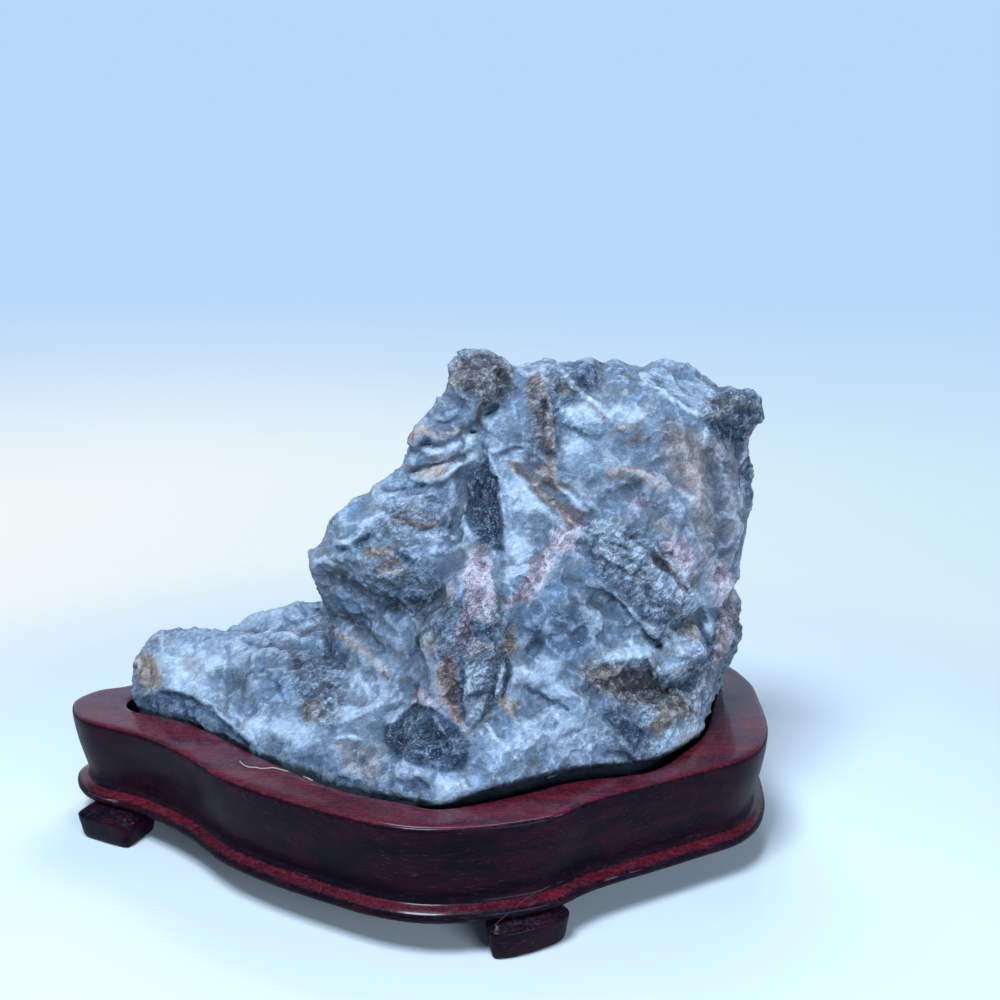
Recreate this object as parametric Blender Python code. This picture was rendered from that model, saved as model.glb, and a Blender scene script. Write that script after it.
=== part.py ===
"""Scholar's rock on its carved hardwood stand.

The rock is one natural stone: a leaning block with a shoulder and a summit
on its left, a low toe running out to the left, and a ridge behind the toe.
It rests loose in a pocket in a wavy rosewood stand on four glued feet.
Lengths are in millimetres until the meshes are made. X is along the stand,
the front is towards -Y, and the origin is at the middle of the footprint.
"""
import math

import bmesh
import bpy
from mathutils import Matrix, Vector, noise

MM = 0.001
GAP = 0.3                       # air kept between pieces that touch

# --- stand -------------------------------------------------------------
RIM_Z = 43.7                    # flat top of the stand
UNDERSIDE_Z = 11.8              # underside, which the feet carry
POCKET_Z = 26.0                 # floor of the pocket that holds the stone
RIM_SAMPLES = 96
POCKET_SAMPLES = 72

# Rim outline seen from above, counter-clockwise from the left tip.
RIM_OUTLINE = [
    (-130.9, 19), (-121, 3), (-98, -8.5), (-78, -22.5), (-58, -41), (-30.5, -57),
    (-2, -69.2), (20, -70.7), (45, -64.8), (62, -53.5), (93, -38.2), (115, -25.5),
    (126, -6.5), (130.2, 22), (130.3, 42), (122, 61), (96, 66.8), (62, 69.5),
    (20, 71.8), (-22, 69.9), (-54, 65.2), (-84, 58), (-104, 46), (-116, 35.5), (-126.5, 30.5),
]

# Edge of the pocket in the rim, counter-clockwise from the left tip.
POCKET_OUTLINE = [
    (-109.8, 20), (-105, 11), (-88, 4), (-72, -6.5), (-53, -23), (-23, -45.5),
    (2, -56.2), (14, -59.2), (34, -52.5), (54, -42.8), (80, -35.5), (94, -21),
    (104, -6), (113, 22), (119, 38), (112, 52), (86, 60), (30, 63), (-12, 62),
    (-46, 58), (-82, 48), (-102, 35),
]

# Side of the stand from the underside up: height and how far it stands out
# from the rim outline. A bead runs round under a slightly hollow wall.
STAND_PROFILE = [
    (11.8, -2.0), (12.6, 0.1), (14.1, 0.5), (15.6, -0.1), (16.3, -1.6), (16.7, -3.7),
    (19.5, -4.0), (27.0, -2.3), (35.0, -0.7), (42.2, 0.0), (43.4, -0.4), (43.7, -1.3),
]

# --- feet --------------------------------------------------------------
FOOT_TOP_Z = UNDERSIDE_Z - GAP
FOOT_HALF_LENGTH = 12.2
FOOT_HALF_DEPTH = 9.0
FOOT_CORNER = 6.0               # power of the rounded-block outline
FOOT_STEPS = 28
FOOT_PROFILE = [(0.0, -2.2), (0.6, -1.6), (3.0, -1.0), (9.6, 0.0), (10.2, -0.4), (FOOT_TOP_Z, -2.4)]
FEET = {                        # middle of each foot, its turn in degrees, radius it bends round
    "foot_left": (-109.8, 0.0, -24, 400.0),
    "foot_front": (38.0, -61.0, 24, 41.7),
    "foot_right": (112, 47, 118, 90.0),
    "foot_back": (-62, 55, 194, 140.0),
}

# --- stone -------------------------------------------------------------
STONE_BASE_Z = POCKET_Z + GAP
STONE_TRIANGLES = 6680
MELT_VOXEL = 1.6                # melts the masses together
CARVED_VOXEL = 1.3              # keeps the carved edges crisp
POCKET_CLEARANCE = 0.6          # between the stone and the pocket's wall
SKIN_GROWTH = 0.5               # gives back what melting the masses together takes

# The part of the stone down in the pocket: height and growth of the pocket's
# outline, trimmed to the pocket's wall later. Its top edge leaves a dark gap.
ROOT_PROFILE = [(20.0, 2.0), (33.0, 1.0), (37.0, -1.5), (41.0, -4.5)]

# Each mass is the convex hull of its corners.
MASSES = {
    "block": [
        (26, 1, 150), (32, -14, 112), (43, 17, 171), (50, 10, 169), (59, 21, 171),
        (61, 4, 161), (69, 2, 155), (84, 13, 164), (92, 8, 158), (103, 9, 154),
        (84, 31, 168), (97, 35, 170), (108, 34, 165), (114, 33, 160), (121, 26, 117),
        (114, 4, 120), (113, 2, 96), (72, -24, 80), (45, -30, 84), (34, 42, 166),
        (100, 52, 160), (117, 47, 110), (40, 58, 112), (118, 24, 92), (112, 50, 60),
    ],
    "lower right": [
        (45, -30, 84), (72, -25, 79), (100, -8, 82), (112, 4, 82), (120, 26, 82),
        (121.5, 29, 67), (120, 34, 52), (112, 50, 50), (60, 60, 60), (105, -4, 60),
        (88, -16, 60), (60, -26, 60), (40, -36, 60), (60, 58, 100), (118, 40, 90),
    ],
    "skirt": [
        (14, -56, 43), (22, -55.5, 48), (35, -49.5, 50), (58, -38, 48), (70, -34, 46),
        (83, -31, 44.5), (91, -27, 46), (98, -18, 47), (106, 0, 50), (112, 12, 53),
        (119, 34, 50), (112, 50, 46), (22, -47, 62), (50, -38, 68), (86, -21, 63),
        (108, 6, 66), (16, -42, 20), (40, -20, 20), (80, 2, 20), (92, 18, 20),
        (104, 36, 20), (60, 56, 20), (0, 52, 20), (0, 0, 60), (60, 50, 60),
    ],
    "spur": [
        (12, -57, 44), (22, -48, 61), (25, -31, 93), (31, -16, 110), (27, -3, 132),
        (2, -44, 56), (8, -22, 88), (40, -36, 70), (42, -22, 95), (40, 12, 110),
        (4, 10, 100), (10, -47, 20), (-8, -36, 20), (40, 0, 40), (0, 10, 40),
    ],
    "core": [
        (16, 12, 60), (44, 6, 60), (18, 12, 158), (44, 14, 162), (16, 46, 150), (44, 46, 158),
        (16, 50, 60), (44, 54, 60), (24, 8, 120), (42, 4, 120),
    ],
    "waist": [
        (-32, 17, 80), (-27, 10, 66), (-30, 50, 66), (-27, 46, 108), (0, -4, 108),
        (-6, -14, 66), (10, -22, 66), (34, 50, 118), (30, -4, 112), (-8, -24, 52),
        (30, 52, 40), (-30, 50, 40), (-34, 6, 50),
    ],
    "shoulder": [
        (-36, 5, 102), (-34.5, 7, 97), (-35, 10, 90), (-33, 15, 80), (-34, 5, 106),
        (-29.5, 5, 112.5), (-26, 5, 120), (-19.5, 6, 125), (-10.5, 8, 128.5),
        (-3.5, 9, 134), (-14, -7, 104), (-8, -8, 92), (8, -9, 100), (10, -3, 117),
        (14, 5, 136), (-33, 30, 92), (-27, 40, 112), (-6, 44, 126), (24, 46, 146),
        (26, 8, 112), (22, 30, 100),
    ],
    "crest": [
        (-2.5, 9, 136), (-1, 9, 143), (2, 8, 148), (12.5, 10, 163), (14, 3, 147),
        (20, 5, 149), (25, 7, 153), (26, 9, 164), (30, 30, 163), (2, 38, 132),
        (26, 42, 158), (16, 7, 130), (12, 30, 156),
    ],
    "beak": [
        (-3.2, 7, 147), (1.5, 8, 148.8), (8, 9, 154), (0, 9, 142), (8, 4, 144),
        (8, 18, 148), (3, 4, 145),
    ],
    "summit": [
        (11.8, 10, 165), (13.5, 11, 170.5), (18, 12, 175.8), (23, 13, 177.6),
        (28, 13, 176.4), (32.8, 13, 172), (35.5, 13, 166), (27, 4, 163), (17, 3, 160),
        (31, 22, 170), (20, 22, 172), (24, 24, 160), (15, 18, 166), (34, 12, 158),
    ],
    "saddle": [
        (33, 12, 166), (41.5, 17, 170), (44, 17, 172.3), (51, 19, 170), (42, 8, 162),
        (52, 10, 166), (38, 34, 165), (55, 36, 165), (34, 6, 150), (50, 4, 150),
    ],
    "dark bump": [
        (56, 16, 168.5), (58.5, 20, 172.4), (62, 20, 172), (67, 18, 169), (58, 10, 167),
        (66, 10, 165), (62, 28, 168), (62, 14, 158),
    ],
    "right knob": [
        (112, 31, 162.5), (116.5, 31, 160.5), (123.5, 31, 160), (126.5, 30, 157),
        (127.2, 29, 150), (126, 29, 145), (123.5, 28, 140), (114, 18, 152),
        (112, 16, 158), (122, 40, 152), (112, 40, 158), (112, 24, 138),
    ],
    "back slab": [
        (-26, 52, 56), (-24, 46, 104), (-2, 43, 125), (24, 44, 146), (34, 42, 164),
        (80, 46, 162), (104, 46, 154), (117, 46, 118), (114, 50, 60), (60, 59, 60),
        (44, 58, 112), (0, 56, 60), (0, 20, 60), (0, 20, 120), (60, 20, 160), (100, 20, 60),
    ],
    "back buttress": [
        (14, 50, 122), (34, 57, 100), (56, 61, 62), (50, 60, 44), (0, 60, 44), (-12, 54, 84),
        (70, 50, 118), (20, 40, 44), (40, 40, 130),
    ],
    "summit crumb": [
        (16, 7, 158), (24, 4, 166), (31, 9, 173), (35, 16, 171), (29, 23, 166), (17, 17, 175),
        (13, 14, 167), (24, 10, 177), (22, 24, 158),
    ],
    "right wall": [
        (124, 28, 139), (123.5, 27, 127), (121.5, 25, 117), (121, 23, 104), (117, 23, 93),
        (116, 40, 93), (118, 46, 138), (100, 20, 130), (104, 14, 110), (104, 12, 96),
        (112, 10, 130),
    ],
    "right foot": [
        (117.5, 23, 92), (121, 25, 84), (122.5, 27, 73), (122.8, 29, 65), (122.6, 31, 59),
        (119, 35, 49), (114, 44, 50), (114, 46, 92), (104, 8, 84), (108, 6, 66), (100, 10, 60),
    ],
    "toe": [
        (-108, 18, 44), (-109, 20.5, 52), (-108, 23, 58.5), (-103.5, 25, 65.3),
        (-99, 27, 68.2), (-86, 29.5, 68.9), (-75, 31, 67), (-97, 12, 46),
        (-87, 6, 47), (-76, 0, 47), (-102, 34, 58), (-84, 44, 58), (-62, 48, 58),
        (-60, 30, 65), (-66, -6, 46), (-100, 22, 32), (-88, 12, 20), (-70, 2, 20),
        (-84, 42, 20), (-60, 46, 20), (-94, 17, 56),
    ],
    "apron": [
        (-75, 30, 66), (-58, 34, 65), (-24, 10, 67), (-66, -8, 44), (-56, -16, 43),
        (-44, -26, 42), (-27.5, -38, 43), (-11, -47, 44), (8, -54, 45), (-20, 20, 70),
        (4, -24, 66), (16, -46, 58), (-20, 46, 60), (-60, 44, 60), (-60, 0, 20),
        (-30, -26, 20), (4, -46, 20), (20, 20, 20), (-50, 44, 20), (-48, -2, 60),
    ],
    "back ridge": [
        (-79, 49, 60), (-77, 51, 64), (-65, 53, 69), (-59.5, 53, 71.5), (-51, 53, 69.5),
        (-40, 52, 69), (-20, 46, 76), (-20, 30, 60), (-78, 42, 46), (-80, 48, 40),
        (-60, 57, 44), (-20, 57, 50), (-64, 40, 60), (-70, 50, 20), (-20, 54, 20),
    ],
}

# Ridges and grooves: the points of a line as seen squarely on one side (x, z on
# the front and back, y, z on the right, x, y from above), its half width, and
# how high it stands, minus for a groove.
CARVING = {
    "front": [
        ([(23, 146), (23, 128), (25, 112), (24, 102)], 5.0, -3.6),      # dark cleft
        ([(28, 150), (32, 134), (34, 124), (34.5, 112)], 3.0, 2.6),     # block's arris
        ([(46, 168), (48, 152), (50, 148)], 4.0, 1.6),                  # upright rib
        ([(36, 146), (46, 134), (55, 126), (60, 122)], 5.5, -2.8),      # slanting trough
        ([(35, 138), (44, 128), (52, 118), (58, 118)], 3.0, 1.8),       # its lower lip
        ([(62, 138), (74, 140), (84, 134), (90, 122)], 3.6, 2.2),       # arched rib
        ([(66, 128), (76, 130), (83, 122)], 5.0, -1.8),                 # hollow under it
        ([(60, 152), (70, 146), (80, 148)], 4.5, -1.6),
        ([(92, 150), (97, 138), (98, 124)], 4.0, 1.6),
        ([(104, 142), (107, 126), (108, 112)], 4.0, -1.6),
        ([(50, 112), (46, 104), (40, 96), (38, 84)], 3.0, 2.0),         # pale vein rib
        ([(56, 112), (66, 104), (78, 98)], 3.0, 1.6),                   # flaked ledges
        ([(54, 104), (64, 97), (76, 90)], 3.0, -1.8),
        ([(84, 112), (92, 102), (101, 96)], 3.4, -1.6),
        ([(64, 94), (70, 86), (82, 80)], 7.0, -4.0),                    # big scoop
        ([(60, 84), (72, 78), (86, 79)], 2.6, 2.4),                     # lip under it
        ([(72, 70), (84, 66), (94, 64)], 6.5, -5.0),                    # dark hollow
        ([(50, 74), (60, 68), (66, 62)], 3.0, -2.2),                    # slanting crack
        ([(70, 60), (80, 57), (90, 58)], 3.4, 2.0),                     # shard ledge
        ([(28, 88), (30, 76), (33, 66)], 3.6, 1.8),                     # cracked slab
        ([(20, 92), (16, 78), (17, 68)], 3.6, -1.8),
        ([(4, 66), (12, 60), (20, 54)], 6.0, -2.0),                     # dark corner facet
        ([(-28, 98), (-16, 92), (0, 90), (12, 96)], 5.0, -3.0),         # under the shoulder
        ([(-32, 104), (-20, 108), (-8, 104), (4, 106)], 4.0, 2.2),      # shoulder ledge
        ([(-22, 116), (-10, 120), (2, 118), (12, 122)], 3.4, 2.0),
        ([(-18, 112), (-6, 114), (6, 112)], 3.2, -1.8),
        ([(-6, 128), (4, 132), (14, 136)], 2.6, 1.8),
        ([(0, 138), (8, 142), (16, 146)], 2.6, 1.6),
        ([(0, 134.5), (10, 138), (16, 141)], 2.4, -1.6),
        ([(-24, 80), (-12, 76), (-2, 74)], 5.0, -3.0),                  # valley's head
        ([(-30, 66), (-14, 58), (-4, 54)], 6.0, -2.6),                  # valley
        ([(-6, 88), (2, 80), (6, 72)], 4.0, -2.2),                      # beside the spur
        ([(104, 96), (108, 84), (112, 74)], 4.0, 2.0),
        ([(66, 120), (74, 112), (84, 110)], 3.6, 1.8),
        ([(86, 72), (98, 76), (108, 74)], 3.6, 2.2),
    ],
    "above": [
        ([(-92, 20), (-80, 14), (-66, 8)], 5.0, -1.8),
        ([(-96, 30), (-80, 28), (-66, 22)], 4.5, 1.2),
        ([(-60, 6), (-46, 0), (-32, -8)], 5.0, 1.8),
        ([(-64, 24), (-48, 18), (-34, 12)], 5.0, -2.4),
        ([(-56, -10), (-40, -22), (-20, -34)], 3.2, 1.4),
        ([(-36, -8), (-20, -16), (-4, -26)], 4.5, -1.6),
        ([(60, 12), (64, 24), (60, 36)], 4.0, 1.6),                     # across the top
        ([(78, 16), (84, 30), (80, 42)], 5.0, -1.8),
    ],
    "back": [
        ([(-14, 116), (-6, 96), (-12, 70)], 6.5, -3.4),
        ([(16, 140), (8, 118), (14, 96)], 5.0, 2.4),
        ([(36, 160), (28, 132), (38, 106), (30, 78)], 6.0, -3.6),
        ([(64, 160), (58, 132), (70, 104), (64, 74)], 6.5, 2.8),
        ([(92, 156), (86, 124), (96, 92), (90, 62)], 6.5, -3.2),
        ([(108, 140), (104, 116), (110, 90)], 5.0, 2.0),
        ([(-20, 78), (14, 72), (44, 80)], 4.5, -2.4),
        ([(40, 92), (70, 84), (104, 88)], 4.0, 2.2),
        ([(46, 124), (74, 118), (96, 126)], 4.5, -2.6),
        ([(-60, 58), (-40, 50), (-24, 56)], 5.0, -2.0),
        ([(20, 60), (60, 54), (100, 60)], 4.5, -2.2),
    ],
    "right": [
        ([(2, 100), (12, 112), (18, 128), (30, 142)], 5.0, -2.6),
        ([(36, 150), (34, 126), (40, 100)], 5.0, 2.2),
        ([(20, 92), (34, 84), (46, 88)], 4.0, -2.2),
        ([(10, 74), (26, 66), (40, 72)], 4.5, 2.2),
        ([(16, 56), (30, 50), (44, 54)], 4.5, -2.0),
    ],
}

# For each side: which two of x, y and z the lines are drawn in, and where the
# surface has to face to take them.
SIDES = {
    "front": ((0, 2), Vector((0, -1, 0)), -0.3),
    "back": ((0, 2), Vector((0, 1, 0)), 0.2),
    "right": ((1, 2), Vector((1, 0, 0)), 0.5),
    "above": ((0, 1), Vector((0, 0, 1)), 0.3),
}

CHIP_SIZE = 14.0                # flat chips broken off all over
CHIP_TILT = 0.17
CHIP_STEP = 0.16                # share of a chip over which it meets its neighbour
GRAIN_SIZE = 9.0
GRAIN_HEIGHT = 1.1


def material(name, colour, roughness, metallic=0.0):
    mat = bpy.data.materials.new(name)
    mat.use_nodes = True
    shader = mat.node_tree.nodes["Principled BSDF"]
    shader.inputs["Base Color"].default_value = (*colour, 1)
    shader.inputs["Roughness"].default_value = roughness
    shader.inputs["Metallic"].default_value = metallic
    return mat


def closed_curve(points, samples):
    """Even samples of a smooth closed curve through the points."""
    count = len(points)
    fine = []
    for i in range(count):
        a, b, c, d = (Vector(points[(i + k) % count]) for k in (-1, 0, 1, 2))
        for step in range(16):
            t = step / 16
            fine.append(0.5 * (2 * b + (c - a) * t + (2 * a - 5 * b + 4 * c - d) * t ** 2
                               + (3 * b - a - 3 * c + d) * t ** 3))
    lengths = [(fine[(i + 1) % len(fine)] - p).length for i, p in enumerate(fine)]
    spacing = sum(lengths) / samples
    out, walked, target = [], 0.0, 0.0
    for i, p in enumerate(fine):
        q = fine[(i + 1) % len(fine)]
        while target < walked + lengths[i] and len(out) < samples:
            out.append(p.lerp(q, (target - walked) / lengths[i]))
            target += spacing
        walked += lengths[i]
    return out


def grown(outline, amount):
    """The outline moved outwards; it runs counter-clockwise."""
    out = []
    for i, p in enumerate(outline):
        along = outline[(i + 1) % len(outline)] - outline[i - 1]
        out.append(p + Vector((along.y, -along.x)).normalized() * amount)
    return out


def loft(bm, rings):
    """Join rings of equal count with quads, and return their vertices."""
    loops = [[bm.verts.new(co) for co in ring] for ring in rings]
    for low, high in zip(loops, loops[1:]):
        for i, vert in enumerate(low):
            j = (i + 1) % len(low)
            bm.faces.new((vert, low[j], high[j], high[i]))
    return loops


def loop_edges(bm, loop):
    return [bm.edges.get((v, loop[(i + 1) % len(loop)])) for i, v in enumerate(loop)]


def finish(name, bm, mat, sharp_degrees=40):
    """Make the object from a bmesh in millimetres."""
    bmesh.ops.scale(bm, vec=(MM, MM, MM), verts=bm.verts)
    bmesh.ops.recalc_face_normals(bm, faces=bm.faces)
    mesh = bpy.data.meshes.new(name)
    bm.to_mesh(mesh)
    bm.free()
    mesh.shade_smooth()
    mesh.set_sharp_from_angle(angle=math.radians(sharp_degrees))
    mesh.materials.append(mat)
    obj = bpy.data.objects.new(name, mesh)
    bpy.context.scene.collection.objects.link(obj)
    return obj


def make_stand(mat):
    rim = closed_curve(RIM_OUTLINE, RIM_SAMPLES)
    pocket = closed_curve(POCKET_OUTLINE, POCKET_SAMPLES)
    bm = bmesh.new()
    side_loops = loft(bm, [[(p.x, p.y, z) for p in grown(rim, out)] for z, out in STAND_PROFILE])
    pocket_loops = loft(bm, [[(p.x, p.y, z) for p in ring] for z, ring in (
        (RIM_Z, grown(pocket, 0.5)), (RIM_Z - 0.7, pocket), (POCKET_Z, pocket))])
    bm.faces.new(reversed(side_loops[0]))
    bm.faces.new(pocket_loops[-1])
    rim_edges = loop_edges(bm, side_loops[-1]) + loop_edges(bm, pocket_loops[0])
    bmesh.ops.triangle_fill(bm, use_beauty=True, edges=rim_edges)
    bmesh.ops.triangulate(bm, faces=[f for f in bm.faces if len(f.verts) > 4])
    return finish("stand", bm, mat)


def make_foot(name, x, y, degrees, radius, mat):
    """A tapered block under the bead, bent to follow the stand's edge, its top bevelled."""
    turn = Matrix.Rotation(math.radians(degrees), 2)
    plan = []
    for step in range(FOOT_STEPS):
        angle = 2 * math.pi * step / FOOT_STEPS
        c, s = math.cos(angle), math.sin(angle)
        along = FOOT_HALF_LENGTH * math.copysign(abs(c) ** (2 / FOOT_CORNER), c)
        out = FOOT_HALF_DEPTH * math.copysign(abs(s) ** (2 / FOOT_CORNER), s)
        bend = along / radius
        bent = Vector((math.sin(bend) * (radius - out), radius - math.cos(bend) * (radius - out)))
        plan.append(turn @ bent + Vector((x, y)))
    bm = bmesh.new()
    loops = loft(bm, [[(p.x, p.y, z) for p in grown(plan, out)] for z, out in FOOT_PROFILE])
    bm.faces.new(reversed(loops[0]))
    bm.faces.new(loops[-1])
    bmesh.ops.triangulate(bm, faces=[f for f in bm.faces if len(f.verts) > 4])
    return finish(name, bm, mat)


def distance_to_line(p, line):
    best = 1e9
    for a, b in zip(line, line[1:]):
        ab = b - a
        t = max(0.0, min(1.0, (p - a).dot(ab) / ab.length_squared))
        best = min(best, (p - a - ab * t).length)
    return best


def carving_at(p, normal):
    """How far the ridges and grooves move the skin at a point."""
    move = 0.0
    for side, lines in CARVING.items():
        (i, j), facing, least = SIDES[side]
        if normal.dot(facing) < least:
            continue
        flat = Vector((p[i], p[j]))
        for line, half_width, height in lines:
            near = distance_to_line(flat, [Vector(q) for q in line]) / half_width
            if near < 1:
                move += height * (1 - near * near) ** 2
    return move


def weather(bm):
    """Break the smooth masses into chips, ridges, grooves and grain."""
    bm.normal_update()
    moves = []
    for vert in bm.verts:
        p = vert.co
        warped = p + 4 * noise.noise_vector(p / 16)
        near, cells = noise.voronoi(warped / CHIP_SIZE)
        tilt = noise.noise_vector(cells[0] * 7.3 + Vector((3.1, 5.7, 1.9)))
        step = min(1.0, (near[1] - near[0]) / CHIP_STEP)
        move = SKIN_GROWTH
        move += CHIP_TILT * 2 * step * (warped - cells[0] * CHIP_SIZE).dot(tilt)
        move += GRAIN_HEIGHT * noise.fractal(p / GRAIN_SIZE, 0.9, 2.1, 3)
        move += carving_at(p, vert.normal)
        moves.append(vert.normal * move)
    for vert, move in zip(bm.verts, moves):
        vert.co += move


def make_mould():
    """A slab with the pocket's shape sunk in it, to trim the stone's foot."""
    bm = bmesh.new()
    wall = grown(closed_curve(POCKET_OUTLINE, POCKET_SAMPLES), -POCKET_CLEARANCE)
    top = RIM_Z + POCKET_CLEARANCE
    sink = loft(bm, [[(p.x, p.y, z) for p in wall] for z in (top, STONE_BASE_Z)])
    block = loft(bm, [[(x, y, z) for x, y in ((-160, -90), (160, -90), (160, 90), (-160, 90))]
                      for z in (0, top)])
    bm.faces.new(reversed(block[0]))
    bm.faces.new(sink[-1])
    bmesh.ops.triangle_fill(bm, edges=loop_edges(bm, block[-1]) + loop_edges(bm, sink[0]))
    bmesh.ops.recalc_face_normals(bm, faces=bm.faces)
    mesh = bpy.data.meshes.new("mould")
    bm.to_mesh(mesh)
    bm.free()
    mould = bpy.data.objects.new("mould", mesh)
    bpy.context.scene.collection.objects.link(mould)
    return mould


def evaluated(obj):
    bm = bmesh.new()
    bm.from_object(obj, bpy.context.evaluated_depsgraph_get())
    return bm


def one_skin(bm, voxel):
    """Melt overlapping closed masses into one even skin."""
    mesh = bpy.data.meshes.new("skin")
    bm.to_mesh(mesh)
    bm.free()
    work = bpy.data.objects.new("skin", mesh)
    bpy.context.scene.collection.objects.link(work)
    remesh = work.modifiers.new("skin", "REMESH")
    remesh.mode = "VOXEL"
    remesh.voxel_size = voxel
    bm = evaluated(work)
    bpy.data.objects.remove(work, do_unlink=True)
    return bm


def thinned_and_seated(bm):
    """Fewer faces, then the foot trimmed to sit in the pocket."""
    mesh = bpy.data.meshes.new("stone")
    ratio = STONE_TRIANGLES / sum(len(f.verts) - 2 for f in bm.faces)
    bm.to_mesh(mesh)
    bm.free()
    work = bpy.data.objects.new("rough stone", mesh)
    bpy.context.scene.collection.objects.link(work)
    thin = work.modifiers.new("thin", "DECIMATE")
    thin.ratio = ratio
    mould = make_mould()
    seat = work.modifiers.new("seat", "BOOLEAN")
    seat.operation = "DIFFERENCE"
    seat.solver = "EXACT"
    seat.object = mould
    bm = evaluated(work)
    for helper in (work, mould):
        bpy.data.objects.remove(helper, do_unlink=True)
    return bm


def make_stone(mat):
    bm = bmesh.new()
    for corners in MASSES.values():
        verts = [bm.verts.new(co) for co in corners]
        hull = bmesh.ops.convex_hull(bm, input=verts)
        loose = [g for g in hull["geom_interior"] if isinstance(g, bmesh.types.BMVert)]
        bmesh.ops.delete(bm, geom=loose, context="VERTS")
    pocket = closed_curve(POCKET_OUTLINE, POCKET_SAMPLES)
    root = loft(bm, [[(p.x, p.y, z) for p in grown(pocket, out)] for z, out in ROOT_PROFILE])
    bm.faces.new(reversed(root[0]))
    bm.faces.new(root[-1])
    bmesh.ops.recalc_face_normals(bm, faces=bm.faces)
    bm = one_skin(bm, MELT_VOXEL)
    weather(bm)
    bm = one_skin(bm, CARVED_VOXEL)
    bm = thinned_and_seated(bm)
    bmesh.ops.triangulate(bm, faces=bm.faces)
    bmesh.ops.dissolve_degenerate(bm, dist=0.002, edges=bm.edges)
    return finish("stone", bm, mat, 50)


def main():
    for old in list(bpy.data.objects):
        bpy.data.objects.remove(old, do_unlink=True)
    rosewood = material("red lacquered rosewood", (0.11, 0.012, 0.016), 0.32)
    make_stone(material("blue grey stone", (0.17, 0.21, 0.28), 0.78))
    make_stand(rosewood)
    for name, (x, y, degrees, radius) in FEET.items():
        make_foot(name, x, y, degrees, radius, material(name + " rosewood", (0.10, 0.012, 0.016), 0.36))


main()
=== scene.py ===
import math

import bmesh
import bpy
import numpy as np
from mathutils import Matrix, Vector
from mathutils.bvhtree import BVHTree


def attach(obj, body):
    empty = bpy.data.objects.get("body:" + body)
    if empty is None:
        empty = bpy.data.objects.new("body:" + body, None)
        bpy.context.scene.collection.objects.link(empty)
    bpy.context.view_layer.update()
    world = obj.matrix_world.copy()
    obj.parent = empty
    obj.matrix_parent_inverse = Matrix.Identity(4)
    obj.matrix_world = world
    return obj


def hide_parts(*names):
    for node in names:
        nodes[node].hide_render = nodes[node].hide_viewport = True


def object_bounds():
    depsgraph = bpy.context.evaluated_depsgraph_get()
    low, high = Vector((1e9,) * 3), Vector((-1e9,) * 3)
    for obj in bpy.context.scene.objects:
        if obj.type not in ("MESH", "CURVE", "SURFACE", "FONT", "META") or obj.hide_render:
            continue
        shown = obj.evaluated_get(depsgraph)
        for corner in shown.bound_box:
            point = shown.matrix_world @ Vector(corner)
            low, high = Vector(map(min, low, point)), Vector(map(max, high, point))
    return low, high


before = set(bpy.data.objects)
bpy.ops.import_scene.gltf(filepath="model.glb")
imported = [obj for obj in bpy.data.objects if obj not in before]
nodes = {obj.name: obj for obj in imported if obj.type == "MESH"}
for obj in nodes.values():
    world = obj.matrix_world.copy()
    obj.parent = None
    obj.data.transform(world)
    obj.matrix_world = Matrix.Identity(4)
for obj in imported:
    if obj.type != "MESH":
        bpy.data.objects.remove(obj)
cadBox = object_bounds()
scene = bpy.context.scene
mm = 0.001

# camera and light

cameraLook = {
    "at": (0.031, -0.335, 0.200),
    "slope": 0.22,
    "lens": 36.0,
    "focalPixels": 1000.0,
    "middle": 500.0,
}

lightLook = {
    "colour": (0.66, 0.83, 1.0),
    "aim": (0, 0, 0.07),
    "top": {"at": (-0.12, -0.28, 0.68), "size": (0.22, 0.20), "power": 7.1},
    "front": {"at": (0.40, -0.64, 0.22), "size": (0.36, 0.30), "power": 5.0},
    "back": {"at": (0.06, 0.52, 0.80), "size": (0.50, 0.40), "power": 4.5},
    "world": 0.04,
    "worldColour": (0.60, 0.78, 1.0),
}

backdropLook = {
    "floorRadius": 0.50,
    "wallRadius": 1.25,
    "wallHeight": 1.6,
    "sides": 96,
    "bendSteps": 12,
    "floorColour": (0.66, 0.68, 0.70),
    "lowLeft": (0.92, 0.99, 0.99),
    "lowRight": (0.66, 0.87, 0.99),
    "highColour": (0.50, 0.72, 1.0),
    "tintRise": (0.62, 1.22),     # metres out and up, from the low tints to the high one
    "glowStart": (0.20, 0.41),    # metres from the object, from no glow to all of it
    "glow": 0.50,
    "glowBehind": 0.45,           # added behind the object
}


def makeCamera():
    data = bpy.data.cameras.new("viewCamera")
    data.lens = cameraLook["lens"]
    data.sensor_width = 36.0
    data.clip_start = 0.01
    camera = bpy.data.objects.new("viewCamera", data)
    camera.location = cameraLook["at"]
    camera.rotation_euler = (math.pi / 2 - math.atan(cameraLook["slope"]), 0, 0)
    scene.collection.objects.link(camera)
    scene.camera = camera


def makeSoftbox(name, settings):
    data = bpy.data.lights.new(name, "AREA")
    data.shape = "RECTANGLE"
    data.size = settings["size"][0]
    data.size_y = settings["size"][1]
    data.energy = settings["power"]
    data.color = lightLook["colour"]
    lamp = bpy.data.objects.new(name, data)
    lamp.location = settings["at"]
    aim = Vector(lightLook["aim"]) - Vector(settings["at"])
    lamp.rotation_euler = aim.to_track_quat("-Z", "Y").to_euler()
    scene.collection.objects.link(lamp)


def makeLight():
    makeSoftbox("topSoftbox", lightLook["top"])
    makeSoftbox("frontFill", lightLook["front"])
    makeSoftbox("backFill", lightLook["back"])
    world = bpy.data.worlds.new("studio")
    world.use_nodes = True
    background = world.node_tree.nodes["Background"]
    background.inputs["Color"].default_value = (*lightLook["worldColour"], 1)
    background.inputs["Strength"].default_value = lightLook["world"]
    scene.world = world
    scene.view_settings.view_transform = "Standard"


# small helpers for node trees and meshes


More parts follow.
